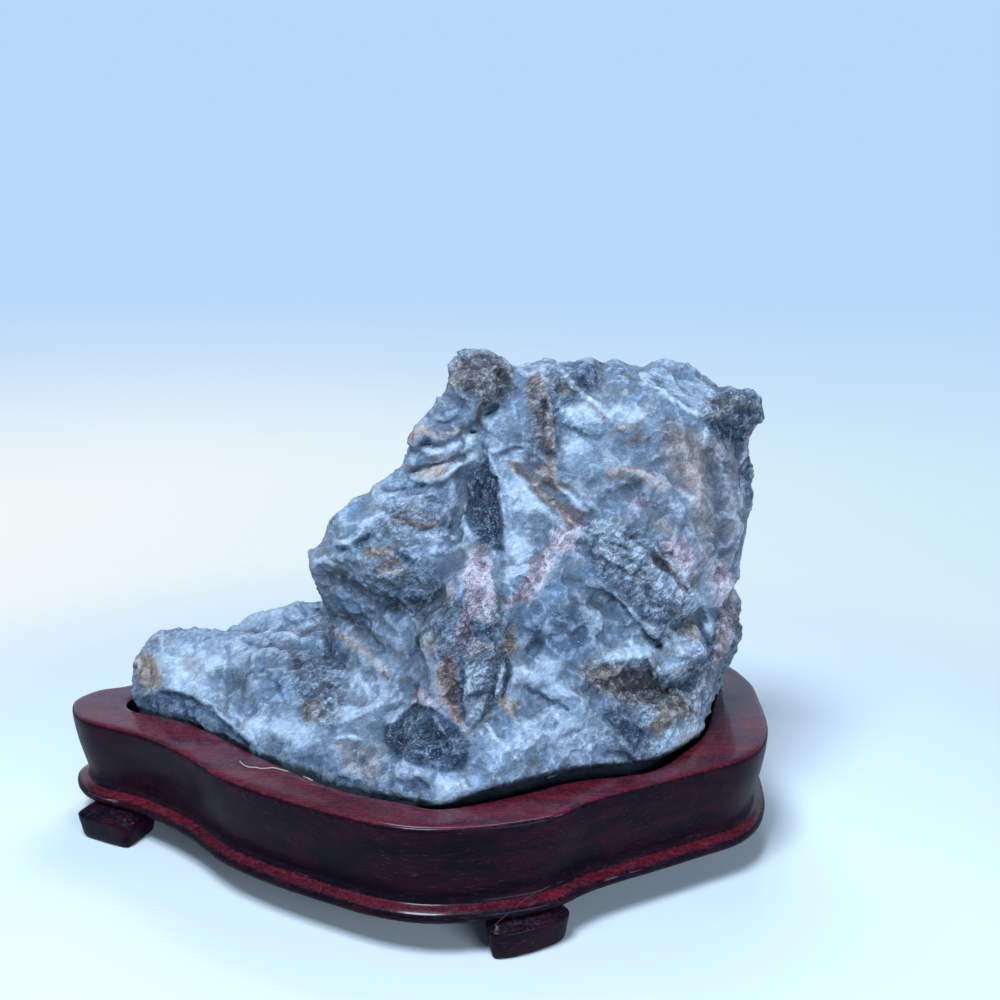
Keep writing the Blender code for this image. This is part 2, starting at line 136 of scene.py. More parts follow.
def addNode(tree, kind, **values):
    # values name either a property of the node or one of its inputs
    node = tree.nodes.new(kind)
    for name, value in values.items():
        if name in node.inputs:
            node.inputs[name].default_value = value
        else:
            setattr(node, name, value)
    return node


def join(tree, source, target):
    tree.links.new(source, target)


def mathNode(tree, operation, first, second=None, clamp=False):
    node = tree.nodes.new("ShaderNodeMath")
    node.operation = operation
    node.use_clamp = clamp
    for slotIndex, value in enumerate((first, second)):
        if value is None:
            continue
        if isinstance(value, (int, float)):
            node.inputs[slotIndex].default_value = value
        else:
            tree.links.new(value, node.inputs[slotIndex])
    return node.outputs[0]


def sums(tree):
    # short forms of the sums that the finishes use most
    def times(value, weight):
        return mathNode(tree, "MULTIPLY", value, weight)

    def about(value, weight):
        return times(mathNode(tree, "SUBTRACT", value, 0.5), weight)

    def plus(*values):
        total = values[0]
        for value in values[1:]:
            total = mathNode(tree, "ADD", total, value)
        return total

    return times, about, plus


def vectorNode(tree, operation, first, second=None, scale=None):
    node = addNode(tree, "ShaderNodeVectorMath", operation=operation)
    join(tree, first, node.inputs[0])
    if isinstance(second, tuple):
        node.inputs[1].default_value = second
    elif second is not None:
        join(tree, second, node.inputs[1])
    if scale is not None:
        join(tree, scale, node.inputs["Scale"])
    return node.outputs["Value" if operation == "DOT_PRODUCT" else "Vector"]


def splitNode(tree, vector):
    # the X, Y and Z of a vector
    node = tree.nodes.new("ShaderNodeSeparateXYZ")
    join(tree, vector, node.inputs[0])
    return node.outputs


def ramp(tree, value, low, high):
    # 0 below low and 1 above high, smooth between
    node = tree.nodes.new("ShaderNodeMapRange")
    node.interpolation_type = "SMOOTHSTEP"
    node.inputs["From Min"].default_value = low
    node.inputs["From Max"].default_value = high
    tree.links.new(value, node.inputs["Value"])
    return node.outputs["Result"]


def mixColour(tree, share, first, second, blend="MIX"):
    node = tree.nodes.new("ShaderNodeMix")
    node.data_type = "RGBA"
    node.blend_type = blend
    for index, value in ((0, share), (6, first), (7, second)):
        if isinstance(value, tuple):
            node.inputs[index].default_value = (*value, 1)
        elif isinstance(value, (int, float)):
            node.inputs[index].default_value = value
        else:
            tree.links.new(value, node.inputs[index])
    return node.outputs[2]


def noiseNode(tree, vector, size, detail=3.0, roughness=0.55, distortion=0.0):
    # size is how big the pattern's cells are, in millimetres
    node = addNode(tree, "ShaderNodeTexNoise", Scale=1000.0 / size, Detail=detail, Roughness=roughness)
    node.inputs["Distortion"].default_value = distortion
    tree.links.new(vector, node.inputs["Vector"])
    return node.outputs["Fac"]


def attributeNode(tree, name):
    return addNode(tree, "ShaderNodeAttribute", attribute_name=name).outputs["Fac"]


def newGroup(name, inputs, outputs):
    group = bpy.data.node_groups.new(name, "ShaderNodeTree")
    for title, value in inputs.items():
        socket = group.interface.new_socket(name=title, in_out="INPUT", socket_type="NodeSocketFloat")
        socket.default_value = value
    for title in outputs:
        group.interface.new_socket(name=title, in_out="OUTPUT", socket_type="NodeSocketFloat")
    return group, group.nodes.new("NodeGroupInput"), group.nodes.new("NodeGroupOutput")


def useGroup(tree, name, values):
    node = tree.nodes.new("ShaderNodeGroup")
    node.node_tree = bpy.data.node_groups[name]
    for title, value in values.items():
        node.inputs[title].default_value = value
    return node.outputs


def newMaterial(name, roughness, coat=0.0, coatRoughness=0.2, specular=0.5):
    material = bpy.data.materials.new(name)
    material.use_nodes = True
    tree = material.node_tree
    shader = tree.nodes["Principled BSDF"]
    shader.inputs["Roughness"].default_value = roughness
    shader.inputs["Coat Weight"].default_value = coat
    shader.inputs["Coat Roughness"].default_value = coatRoughness
    shader.inputs["Specular IOR Level"].default_value = specular
    return material, tree, shader


def addBump(tree, shader, height, strength, distance):
    node = addNode(tree, "ShaderNodeBump", Strength=strength, Distance=distance)
    tree.links.new(height, node.inputs["Height"])
    tree.links.new(node.outputs["Normal"], shader.inputs["Normal"])


def pointsOf(mesh):
    values = np.empty(len(mesh.vertices) * 3, dtype=np.float64)
    mesh.vertices.foreach_get("co", values)
    return values.reshape(-1, 3)


def normalsOf(mesh):
    values = np.empty(len(mesh.vertices) * 3, dtype=np.float32)
    mesh.vertex_normals.foreach_get("vector", values)
    return values.reshape(-1, 3).astype(np.float64)


def movePoints(mesh, points):
    mesh.vertices.foreach_set("co", points.astype(np.float32).ravel())
    mesh.update()


def edgesOf(mesh):
    values = np.empty(len(mesh.edges) * 2, dtype=np.int32)
    mesh.edges.foreach_get("vertices", values)
    return values.reshape(-1, 2)


def smoothed(values, edges, times, share=1.0):
    # each point moves to the mean of its neighbours, several times over
    count = len(values)
    degree = np.bincount(edges.ravel(), minlength=count).clip(1)
    result = values.copy()
    for _ in range(times):
        total = np.empty_like(result)
        for axis in range(result.shape[1]):
            total[:, axis] = np.bincount(edges[:, 0], weights=result[edges[:, 1], axis], minlength=count)
            total[:, axis] += np.bincount(edges[:, 1], weights=result[edges[:, 0], axis], minlength=count)
        result += (total / degree[:, None] - result) * share
    return result


def setAttribute(mesh, name, values):
    attribute = mesh.attributes.get(name) or mesh.attributes.new(name, "FLOAT", "POINT")
    attribute.data.foreach_set("value", values.astype(np.float32))


def readAttribute(mesh, name):
    values = np.empty(len(mesh.vertices), dtype=np.float32)
    mesh.attributes[name].data.foreach_get("value", values)
    return values


def builtMesh(obj):
    # the object with its modifiers, as a plain mesh
    bpy.context.view_layer.update()
    evaluated = obj.evaluated_get(bpy.context.evaluated_depsgraph_get())
    return bpy.data.meshes.new_from_object(evaluated)


def finishedMesh(obj):
    mesh = builtMesh(obj)
    obj.modifiers.clear()
    obj.data = mesh
    return mesh


def newObject(name, mesh):
    obj = bpy.data.objects.new(name, mesh)
    scene.collection.objects.link(obj)
    return obj


def smoothFaces(mesh):
    mesh.polygons.foreach_set("use_smooth", [True] * len(mesh.polygons))
    mesh.update()


# repeatable random fields over space


def scrambled(ix, iy, iz, seed):
    key = ix * 73856093 ^ iy * 19349663 ^ iz * 83492791 ^ (seed * 2654435761 & 0x7FFFFFFF)
    key = (key ^ (key >> 13)) * 1274126177 & 0x7FFFFFFF
    key = (key ^ (key >> 11)) * 668265263 & 0x7FFFFFFF
    return ((key ^ (key >> 15)) & 0xFFFFF) / 1048575.0


def field(points, size, seed):
    # smooth random values from -1 to 1, with lumps about size across
    place = points / size
    base = np.floor(place).astype(np.int64)
    part = place - base
    part = part * part * part * (part * (part * 6 - 15) + 10)
    total = np.zeros(len(points))
    for dx in (0, 1):
        for dy in (0, 1):
            for dz in (0, 1):
                weight = (part[:, 0] if dx else 1 - part[:, 0]) * (part[:, 1] if dy else 1 - part[:, 1])
                weight = weight * (part[:, 2] if dz else 1 - part[:, 2])
                total += weight * scrambled(base[:, 0] + dx, base[:, 1] + dy, base[:, 2] + dz, seed)
    return total * 2 - 1


def layered(points, size, seed, layers=3, ridged=False):
    total = np.zeros(len(points))
    weight = 1.0
    whole = 0.0
    for layer in range(layers):
        value = field(points, size / 2 ** layer, seed + layer * 17)
        total += weight * (1 - 2 * np.abs(value) if ridged else value)
        whole += weight
        weight *= 0.5
    return total / whole


def chips(points, size, seed):
    # flat tilted chips, each cell a plane of its own: height, distance to the cell's edge, and hollow
    place = points / size
    base = np.floor(place).astype(np.int64)
    nearest = np.full(len(points), 9.0)
    second = np.full(len(points), 9.0)
    height = np.zeros(len(points))
    for dx in (-1, 0, 1):
        for dy in (-1, 0, 1):
            for dz in (-1, 0, 1):
                cell = base + np.array((dx, dy, dz))
                ix, iy, iz = cell.T
                centre = np.empty_like(place)
                slope = np.empty_like(place)
                for axis in range(3):
                    centre[:, axis] = cell[:, axis] + scrambled(ix, iy, iz, seed + axis)
                    slope[:, axis] = scrambled(ix, iy, iz, seed + 7 + axis) * 2 - 1
                away = place - centre
                distance = np.sqrt((away * away).sum(axis=1))
                closer = distance < nearest
                second = np.where(closer, nearest, np.minimum(second, distance))
                nearest = np.where(closer, distance, nearest)
                height = np.where(closer, (away * slope).sum(axis=1), height)
    return height, second - nearest, nearest * nearest - 0.22


def step(value, low, high):
    share = np.clip((value - low) / (high - low), 0, 1)
    return share * share * (3 - 2 * share)


def toPixels(points):
    # where a point lies in the camera's frame, and how far off it is
    tilt = math.atan(cameraLook["slope"])
    away = points - np.array(cameraLook["at"])
    depth = away[:, 1] * math.cos(tilt) - away[:, 2] * math.sin(tilt)
    across = cameraLook["middle"] + cameraLook["focalPixels"] * away[:, 0] / depth
    rise = away[:, 1] * math.sin(tilt) + away[:, 2] * math.cos(tilt)
    down = cameraLook["middle"] - cameraLook["focalPixels"] * rise / depth
    return across, down, depth


def lineDistance(across, down, line):
    # distance from a drawn line, how far along it, and whether a point is on its left
    best = np.full(len(across), 1e9)
    share = np.zeros(len(across))
    side = np.ones(len(across))
    line = [line[0], (line[0][0] + 0.1, line[0][1])] if len(line) == 1 else line
    lengths = [math.dist(line[i], line[i + 1]) for i in range(len(line) - 1)]
    done = 0.0
    for i, length in enumerate(lengths):
        ax, ay = line[i]
        bx, by = line[i + 1][0] - ax, line[i + 1][1] - ay
        part = np.clip(((across - ax) * bx + (down - ay) * by) / max(length * length, 1e-6), 0, 1)
        away = np.hypot(across - ax - bx * part, down - ay - by * part)
        closer = away < best
        best = np.where(closer, away, best)
        share = np.where(closer, (done + part * length) / sum(lengths), share)
        turn = by * (across - ax) - bx * (down - ay)
        side = np.where(closer, np.sign(turn), side)
        done += length
    return best, share, side


def insideArea(across, down, corners):
    inside = np.zeros(len(across), dtype=bool)
    for i, (x1, y1) in enumerate(corners):
        x0, y0 = corners[i - 1]
        if y0 == y1:
            continue
        crossing = (y0 > down) != (y1 > down)
        inside ^= crossing & (across < (x1 - x0) * (down - y0) / (y1 - y0) + x0)
    return inside


# the stone

stoneLook = {
    "voxel": 0.70,              # mm, for carving
    "triangles": 190000,
    "facetSoftening": 3,
    "wander": 2.0,              # how far drawn lines stray, in pixels
    # size and height in mm, hollowness, and how much of it stays on calm and on rough places
    "chips": [(15.0, 1.5, 0.9, 0.42, 0.42), (7.2, 1.15, 0.35, 0.28, 1.0), (4.2, 0.80, 0.1, 0.13, 1.0),
              (2.3, 0.30, 0.0, 0.1, 1.0)],
    "flakeSize": 4.2,           # mm, on the crinkled places
    "flakeHeight": 0.75,
    "crinkleSize": 5.0,
    "crinkleHeight": 0.24,
    "grainSize": 1.7,
    "grainHeight": 0.16,
    "bend": 2.5,                # mm, how far the pattern of chips is bent
    "terraceSize": 13.0,
    "mostLift": 2.4,            # mm, the most that carving moves a point
    "keepBelow": 45.0,          # mm, height under which the stone keeps off the pocket
    # the air round the stone's foot, in mm: how far it runs under the stone and past the wall,
    # where it starts, and how far it slopes down towards the middle
    "ringDepth": 6.5,
    "ringReach": 6.0,
    "ringFoot": 20.0,
    "ringSlope": 4.0,
}

# how high the stone stands clear of the pocket's edge, corner by corner of its outline, in mm
stoneClearance = [
    36.0, 36.0, 36.0, 36.0, 36.0, 36.0,
    43.0, 45.2, 48.0, 48.6, 47.4, 46.4,
    45.6, 44.6, 43.0, 40.0, 38.0, 36.0, 36.0,
    36.0, 36.0, 36.0,
]

# Where the surface is flaky: strength, softness and corners, in pixels.
flakyAreas = [
    (0.9, 10, [(588, 520), (640, 530), (668, 560), (694, 600), (690, 640), (650, 630), (618, 596),
               (590, 570)]),
    (0.7, 8, [(372, 552), (410, 548), (440, 580), (436, 620), (404, 614), (376, 590)]),
    (0.8, 6, [(296, 660), (330, 652), (345, 684), (340, 722), (306, 724), (294, 690)]),
    (0.8, 6, [(440, 600), (500, 596), (512, 640), (508, 690), (486, 724), (452, 716), (436, 660)]),
    (0.7, 8, [(604, 692), (660, 700), (700, 640), (742, 600), (744, 650), (700, 720), (640, 760),
              (606, 740)]),
    (0.8, 5, [(468, 470), (498, 470), (505, 548), (478, 541)]),
    (0.8, 5, [(417, 705), (471, 740), (464, 768), (430, 768), (383, 738)]),
    (0.8, 5, [(458, 350), (500, 350), (516, 384), (500, 410), (452, 392)]),
    (0.8, 5, [(700, 400), (735, 385), (768, 396), (764, 432), (744, 446), (710, 436)]),
    (0.7, 5, [(545, 368), (600, 362), (600, 384), (560, 410), (556, 470), (530, 462), (528, 380)]),
    (0.6, 6, [(740, 440), (758, 440), (756, 500), (740, 500)]),
    (0.6, 8, [(380, 500), (440, 500), (446, 530), (384, 530)]),
    (0.9, 6, [(590, 662), (650, 664), (694, 684), (684, 704), (634, 708), (584, 690)]),
]

# A mass that fills the cleft beside the ridge up to its dark face: corners as pixels and depth in mm.
cleftFace = [
    (463, 436, 6.0), (484, 438, 2.5), (489, 462, -2.0), (491, 490, -5.0), (490, 512, -7.0),
    (476, 518, -0.5), (463, 508, 3.5), (461, 470, 6.0),
]
cleftDepth = 12.0

# Ledges: height in mm, how far back they slope in pixels, and the line of the lip.
# The proud side lies on the left of the line as it runs.
stoneLedges = [
    (1.2, 10, [(461, 361), (472, 357), (482, 352), (494, 360), (506, 370), (514, 382)]),
    (1.5, 12, [(404, 440), (414, 446), (420, 441), (432, 443), (446, 441), (460, 431), (470, 424)]),
    (1.1, 12, [(404, 466), (425, 463), (445, 460), (462, 452), (478, 441)]),
    (1.4, 13, [(398, 474), (414, 480), (430, 483), (446, 477), (460, 465), (478, 456)]),
    (0.9, 10, [(382, 489), (400, 488), (414, 485), (428, 484)]),
    (1.5, 14, [(333, 546), (350, 545), (359, 537), (369, 532), (374, 536)]),
    (1.0, 9, [(374, 536), (384, 541), (392, 545), (397, 540)]),
    (1.2, 10, [(390, 525), (404, 522), (420, 527), (437, 523)]),
    (1.2, 9, [(398, 512), (412, 510), (425, 513), (436, 519)]),
    (1.3, 11, [(366, 551), (380, 553), (396, 549), (408, 556), (424, 562)]),
    (1.9, 12, [(374, 573), (384, 580), (396, 584), (403, 575), (418, 575), (430, 589)]),
    (1.0, 9, [(395, 548), (407, 549), (422, 547), (440, 553), (462, 548), (476, 541)]),
    (1.1, 10, [(352, 575), (372, 583), (388, 592), (403, 600), (416, 612), (426, 622)]),
    (1.0, 9, [(358, 598), (376, 603), (394, 603), (410, 613), (420, 630)]),
    (0.9, 9, [(330, 606), (345, 612), (362, 611), (378, 618), (396, 628)]),
    (1.4, 12, [(326, 640), (331, 650), (340, 662), (352, 668)]),
    (1.2, 8, [(503, 552), (505, 525), (502, 500), (497, 478), (490, 461), (484, 448)]),
    (1.2, 10, [(470, 536), (465, 520), (467, 502), (472, 490)]),
    (1.0, 9, [(487, 453), (500, 449), (514, 445), (528, 444)]),
    (1.6, 11, [(557, 478), (555, 455), (554, 430), (551, 405), (547, 385)]),
    (1.0, 9, [(540, 462), (548, 464), (557, 461)]),
    (1.2, 9, [(532, 470), (545, 481), (556, 487)]),
    (1.1, 13, [(588, 514), (578, 503), (566, 492), (553, 481)]),
    (1.4, 10, [(617, 417), (604, 412), (590, 400), (576, 390), (566, 380), (558, 371)]),
    (1.6, 14, [(702, 416), (690, 411), (678, 404), (662, 393), (650, 382), (640, 372)]),
    (1.0, 9, [(558, 421), (572, 427), (586, 431), (600, 439)]),
    (1.4, 14, [(697, 545), (690, 522), (681, 505), (670, 489), (655, 478), (638, 471), (618, 467)]),
    (1.0, 10, [(618, 500), (632, 512), (648, 526)]),
    (1.2, 9, [(702, 417), (716, 416), (730, 424), (744, 419), (760, 416)]),
    (1.0, 10, [(704, 462), (722, 461), (740, 462)]),
    (1.1, 8, [(604, 521), (616, 525), (630, 532), (641, 540)]),
    (1.3, 8, [(603, 541), (614, 547), (627, 553), (640, 566)]),
    (1.2, 8, [(588, 549), (601, 557), (616, 563), (634, 573)]),
    (1.1, 8, [(612, 574), (630, 581), (648, 585), (664, 592)]),
    (1.1, 8, [(640, 566), (656, 572), (672, 579), (686, 590)]),
    (1.2, 9, [(626, 596), (644, 602), (660, 604), (676, 612), (690, 618)]),
    (1.1, 8, [(640, 612), (652, 618), (666, 620), (676, 617)]),
    (1.3, 10, [(650, 542), (658, 554), (669, 565), (680, 579), (692, 592), (698, 605)]),
    (3.2, 18, [(578, 583), (590, 586), (603, 588), (615, 596), (629, 609), (641, 623), (652, 634),
               (663, 646)]),
    (1.0, 14, [(592, 662), (606, 662), (620, 660), (634, 657), (646, 657), (652, 667), (660, 679),
               (672, 682), (684, 678), (692, 670)]),
    (1.4, 10, [(664, 652), (676, 656), (690, 656), (704, 658), (712, 652)]),
    (1.2, 10, [(668, 631), (678, 640), (690, 646), (704, 650)]),
    (1.1, 9, [(696, 592), (703, 604), (709, 622), (714, 640)]),
    (2.0, 16, [(518, 681), (530, 688), (543, 696), (554, 700), (568, 710)]),
    (1.2, 12, [(543, 634), (549, 648), (560, 658), (575, 663), (586, 668)]),
    (1.0, 9, [(520, 622), (534, 630), (546, 634), (560, 632)]),
    (1.3, 9, [(602, 714), (614, 723), (627, 734), (638, 748), (640, 762)]),
    (1.3, 9, [(604, 706), (620, 712), (636, 724), (646, 733), (654, 720)]),
    (1.4, 10, [(614, 731), (622, 742), (634, 753)]),
    (1.6, 12, [(602, 752), (616, 749), (628, 752), (640, 762)]),
    (1.2, 10, [(640, 708), (652, 711), (664, 704), (676, 700), (690, 697)]),
    (1.5, 10, [(461, 722), (460, 700), (463, 684), (462, 668)]),
    (1.3, 10, [(383, 729), (392, 722), (404, 712), (416, 704), (432, 706), (446, 716), (460, 729),
               (472, 740)]),
    (1.0, 9, [(417, 690), (416, 672), (413, 655), (416, 638), (428, 629), (441, 620), (450, 608)]),
    (1.0, 9, [(430, 648), (444, 630), (455, 606), (467, 585)]),
    (1.3, 9, [(333, 739), (346, 735), (360, 739), (373, 746), (385, 758)]),
    (1.0, 10, [(390, 776), (404, 780), (418, 777), (432, 785)]),
    (2.3, 10, [(150, 694), (160, 689), (175, 691), (190, 695), (203, 703), (217, 713), (229, 723),
               (243, 737), (256, 748), (270, 748)]),
    (1.2, 10, [(270, 748), (286, 752), (300, 752), (316, 757), (330, 750)]),
    (1.0, 8, [(143, 698), (152, 692), (163, 690)]),
    (0.9, 9, [(320, 735), (334, 723), (352, 714), (370, 708), (392, 702), (410, 697)]),
]

# Ridges and, where the height is negative, grooves: height in mm, half width in pixels, line.
stoneRidges = [
    (-1.0, 4, [(452, 374), (462, 368), (474, 369), (484, 374)]),
    (-0.8, 4, [(486, 367), (498, 372), (508, 382)]),
    (-1.5, 3, [(487, 398), (480, 408), (478, 420), (481, 432)]),
    (1.6, 7, [(496, 388), (488, 396)]),
    (-2.6, 4, [(419, 444), (425, 441), (430, 444)]),
    (0.9, 5, [(424, 430), (436, 437), (448, 435), (460, 428)]),
    (0.9, 5, [(418, 474), (430, 467), (448, 468)]),
    (-1.0, 9, [(462, 448), (448, 452), (430, 454), (414, 456)]),
    (-1.2, 14, [(436, 492), (454, 488), (468, 478)]),
    (-1.1, 2.5, [(384, 489), (400, 488), (424, 484)]),
    (1.1, 4, [(311, 567), (316, 562), (325, 560), (335, 566)]),
    (0.6, 3, [(319, 579), (325, 584), (333, 585)]),
    (0.8, 5, [(376, 516), (386, 517), (393, 528), (395, 540)]),
    (-1.5, 6, [(338, 552), (352, 551), (364, 543)]),
    (-1.2, 4, [(396, 520), (410, 523), (424, 525)]),
    (-1.6, 5, [(384, 568), (396, 563), (410, 562)]),
    (-0.8, 2, [(398, 543), (405, 547), (417, 543)]),
    (-0.7, 2, [(438, 545), (452, 542), (468, 541)]),
    (-1.8, 9, [(392, 590), (412, 601), (424, 614)]),
    (1.2, 6, [(332, 627), (342, 637), (354, 645), (366, 653), (378, 667), (389, 679)]),
    (-1.6, 8, [(327, 634), (334, 652), (345, 664)]),
    (-1.0, 3, [(411, 652), (416, 672), (418, 690)]),
    (-0.8, 10, [(484, 470), (490, 495), (491, 520), (489, 540)]),
    (1.0, 4, [(466, 500), (465, 516), (470, 532), (477, 541)]),
    (1.8, 10, [(479, 556), (480, 580), (481, 604), (480, 622)]),
    (-1.5, 5, [(500, 560), (502, 585), (503, 600)]),
    (-1.1, 3, [(494, 560), (498, 590), (500, 612), (498, 634)]),
    (-1.4, 6, [(474, 628), (486, 632), (494, 630)]),
    (-1.2, 3, [(468, 588), (458, 606), (447, 624), (436, 640)]),
    (1.2, 7, [(424, 640), (432, 640), (436, 646)]),
    (-1.0, 3, [(428, 654), (430, 644), (436, 638)]),
    (1.0, 6, [(540, 378), (546, 400), (550, 428), (553, 452)]),
    (-1.6, 3, [(542, 400), (546, 408), (543, 412)]),
    (-2.2, 4, [(545, 453), (553, 455)]),
    (1.2, 7, [(538, 470), (550, 476), (558, 482)]),
    (-1.7, 8, [(512, 465), (526, 473), (537, 488), (550, 500), (566, 511), (580, 518)]),
    (0.7, 8, [(512, 480), (524, 487), (536, 500)]),
    (-1.0, 2, [(519, 402), (521, 420), (523, 438)]),
    (1.1, 3.5, [(552, 367), (561, 371), (567, 379), (576, 389), (590, 399), (604, 411), (612, 415)]),
    (1.0, 3.5, [(641, 373), (651, 383), (664, 393), (680, 404), (692, 412)]),
    (-1.0, 10, [(600, 375), (606, 392), (620, 402)]),
    (1.6, 7, [(577, 372), (588, 369), (594, 376), (586, 384)]),
    (-1.2, 5, [(561, 424), (578, 430), (598, 437)]),
    (-1.3, 22, [(660, 425), (672, 445), (680, 462)]),
    (-1.0, 14, [(586, 470), (592, 500), (600, 515)]),
    (1.1, 7, [(606, 474), (626, 467), (646, 473), (660, 481), (672, 493), (681, 508), (690, 528)]),
    (-1.2, 9, [(624, 490), (640, 500), (655, 515), (664, 530)]),
    (0.8, 4, [(655, 471), (669, 480), (682, 492), (696, 502)]),
    (-0.9, 4, [(609, 538), (620, 544), (628, 550)]),
    (0.9, 5, [(608, 530), (622, 536), (634, 545)]),
    (-1.0, 4, [(645, 547), (655, 559), (668, 569), (680, 582), (690, 592)]),
    (-1.4, 4, [(733, 413), (746, 411), (757, 414)]),
    (-2.0, 3, [(752, 421), (755, 422)]),
    (1.5, 5, [(738, 400), (748, 402), (757, 408)]),
    (-1.6, 9, [(712, 424), (726, 432), (738, 432)]),
    (0.9, 3, [(746, 440), (744, 460), (741, 482), (740, 505)]),
    (1.4, 3, [(749, 465), (750, 474), (748, 485)]),
    (1.3, 9, [(712, 545), (726, 548), (738, 546)]),
    (1.2, 5, [(736, 560), (735, 578), (736, 600)]),
    (-1.1, 5, [(716, 575), (718, 600), (719, 625), (712, 650)]),
    (1.2, 3, [(740, 620), (741, 627), (738, 633)]),
    (1.2, 3, [(735, 646), (736, 652), (733, 658)]),
    (-3.0, 15, [(604, 604), (620, 616), (632, 632)]),
    (1.2, 14, [(628, 644), (640, 648)]),
    (-1.4, 8, [(598, 632), (602, 646), (606, 655)]),
    (-3.0, 4, [(652, 637), (657, 641), (660, 646)]),
    (-2.2, 5, [(600, 592), (612, 600), (624, 611)]),
    (-1.5, 6, [(574, 600), (580, 620), (588, 640), (596, 654)]),
    (2.2, 10, [(608, 682), (626, 685), (646, 690), (664, 694)]),
    (-1.5, 5, [(642, 694), (650, 700), (662, 702)]),
    (1.3, 4, [(652, 668), (657, 677), (668, 680), (680, 678)]),
    (-1.3, 3, [(700, 624), (706, 636), (712, 648)]),
    (-1.8, 3, [(523, 684), (536, 691), (546, 697), (557, 701), (567, 708)]),
    (0.8, 10, [(530, 660), (550, 668), (566, 680)]),
    (-1.2, 4, [(552, 622), (560, 628), (572, 636)]),
    (-0.9, 2.5, [(462, 670), (464, 688), (460, 704), (466, 721), (475, 728), (484, 716), (488, 704)]),
    (-1.0, 3, [(489, 706), (494, 692), (495, 676), (500, 660)]),
    (-1.0, 2, [(463, 697), (476, 694), (491, 693)]),
    (-0.8, 2, [(468, 681), (480, 676), (490, 677)]),
    (1.4, 3.5, [(501, 664), (499, 680), (496, 697)]),
    (-1.7, 3, [(508, 660), (508, 676), (505, 689), (500, 698)]),
    (-0.9, 5, [(448, 660), (446, 680), (452, 704)]),
    (-1.2, 3, [(602, 715), (614, 724), (628, 736), (636, 750)]),
    (1.1, 4, [(612, 731), (621, 743), (633, 755)]),
    (-1.8, 4, [(630, 760), (634, 764)]),
    (0.6, 2.5, [(486, 724), (500, 742), (518, 760)]),
    (-0.8, 3, [(560, 740), (574, 731), (592, 724)]),
    (-1.0, 9, [(600, 755), (618, 754), (630, 757)]),
    (1.5, 13, [(257, 688)]),
    (-1.3, 3, [(243, 696), (243, 684), (248, 675), (258, 670), (268, 671), (276, 681), (280, 694)]),
    (1.0, 11, [(289, 690)]),
    (0.8, 12, [(218, 694), (232, 692)]),
    (-0.9, 5, [(264, 660), (272, 668), (282, 676)]),
    (-0.8, 7, [(292, 656), (296, 666)]),
    (1.0, 6, [(240, 657), (262, 649), (282, 641), (302, 632), (322, 622)]),
    (0.9, 7, [(308, 710), (318, 712), (326, 704)]),
    (-0.9, 4, [(326, 696), (331, 706), (322, 716)]),
    (-0.7, 5, [(323, 684), (333, 689)]),
    (-1.0, 14, [(380, 690), (350, 690)]),
    (0.7, 3, [(335, 727), (352, 718), (372, 710), (396, 703)]),
    (-1.3, 10, [(352, 755), (364, 762)]),
    (-0.8, 6, [(150, 668), (156, 678)]),
]

# Where each tint lies, in pixels. An area has a strength, a softness and its corners,
# and a line a strength, a half width and its points.
ochreAreas = [
    (0.62, 6, [(462, 354), (478, 348), (492, 352), (506, 365), (514, 380), (512, 394), (500, 408),
               (484, 402), (470, 394), (454, 390), (444, 380), (452, 366)]),
    (0.9, 3, [(413, 474), (425, 469), (434, 464), (452, 467), (442, 475), (432, 480), (420, 480)]),
    (0.8, 4, [(528, 378), (540, 371), (550, 395), (553, 420), (556, 450), (557, 474), (548, 469),
              (541, 455), (536, 436), (532, 412), (526, 395)]),
    (0.7, 4, [(532, 466), (548, 464), (560, 480), (570, 492), (556, 490), (540, 482)]),
    (0.5, 6, [(706, 402), (726, 393), (752, 395), (763, 406), (760, 428), (746, 436), (738, 420),
              (722, 412)]),
    (0.95, 3, [(514, 616), (520, 630), (518, 645), (511, 657), (505, 650), (506, 636), (509, 624)]),
    (0.75, 4, [(494, 700), (508, 694), (519, 705), (516, 719), (503, 714)]),
    (0.8, 6, [(655, 713), (668, 703), (686, 699), (692, 710), (676, 722), (658, 736), (648, 728)]),
    (0.6, 5, [(680, 736), (692, 730), (698, 740), (690, 747), (680, 745)]),
    (0.7, 6, [(682, 620), (696, 620), (703, 632), (694, 642), (684, 636)]),
    (0.8, 5, [(134, 656), (148, 651), (158, 660), (163, 674), (160, 686), (146, 690), (136, 678)]),
    (0.5, 6, [(178, 652), (200, 655), (204, 672), (186, 678)]),
    (0.6, 4, [(300, 698), (314, 696), (326, 704), (324, 722), (308, 722), (300, 712)]),
    (0.45, 5, [(335, 742), (352, 738), (372, 748), (384, 764), (376, 786), (352, 776), (338, 758)]),
    (0.6, 4, [(575, 662), (590, 664), (600, 676), (590, 682), (578, 674)]),
    (0.5, 7, [(604, 470), (640, 466), (668, 484), (660, 496), (634, 482), (608, 484)]),
    (0.45, 8, [(640, 512), (664, 510), (684, 530), (690, 550), (668, 536), (648, 528)]),
    (0.6, 14, [(664, 416), (706, 436), (742, 444), (742, 560), (700, 560), (686, 500), (660, 460)]),
    (0.55, 5, [(420, 632), (440, 634), (438, 652), (424, 654)]),
    (0.5, 5, [(440, 582), (456, 585), (452, 602), (438, 618)]),
    (0.60, 6, [(590, 666), (642, 666), (662, 686), (690, 692), (680, 704), (634, 706), (590, 692)]),
]
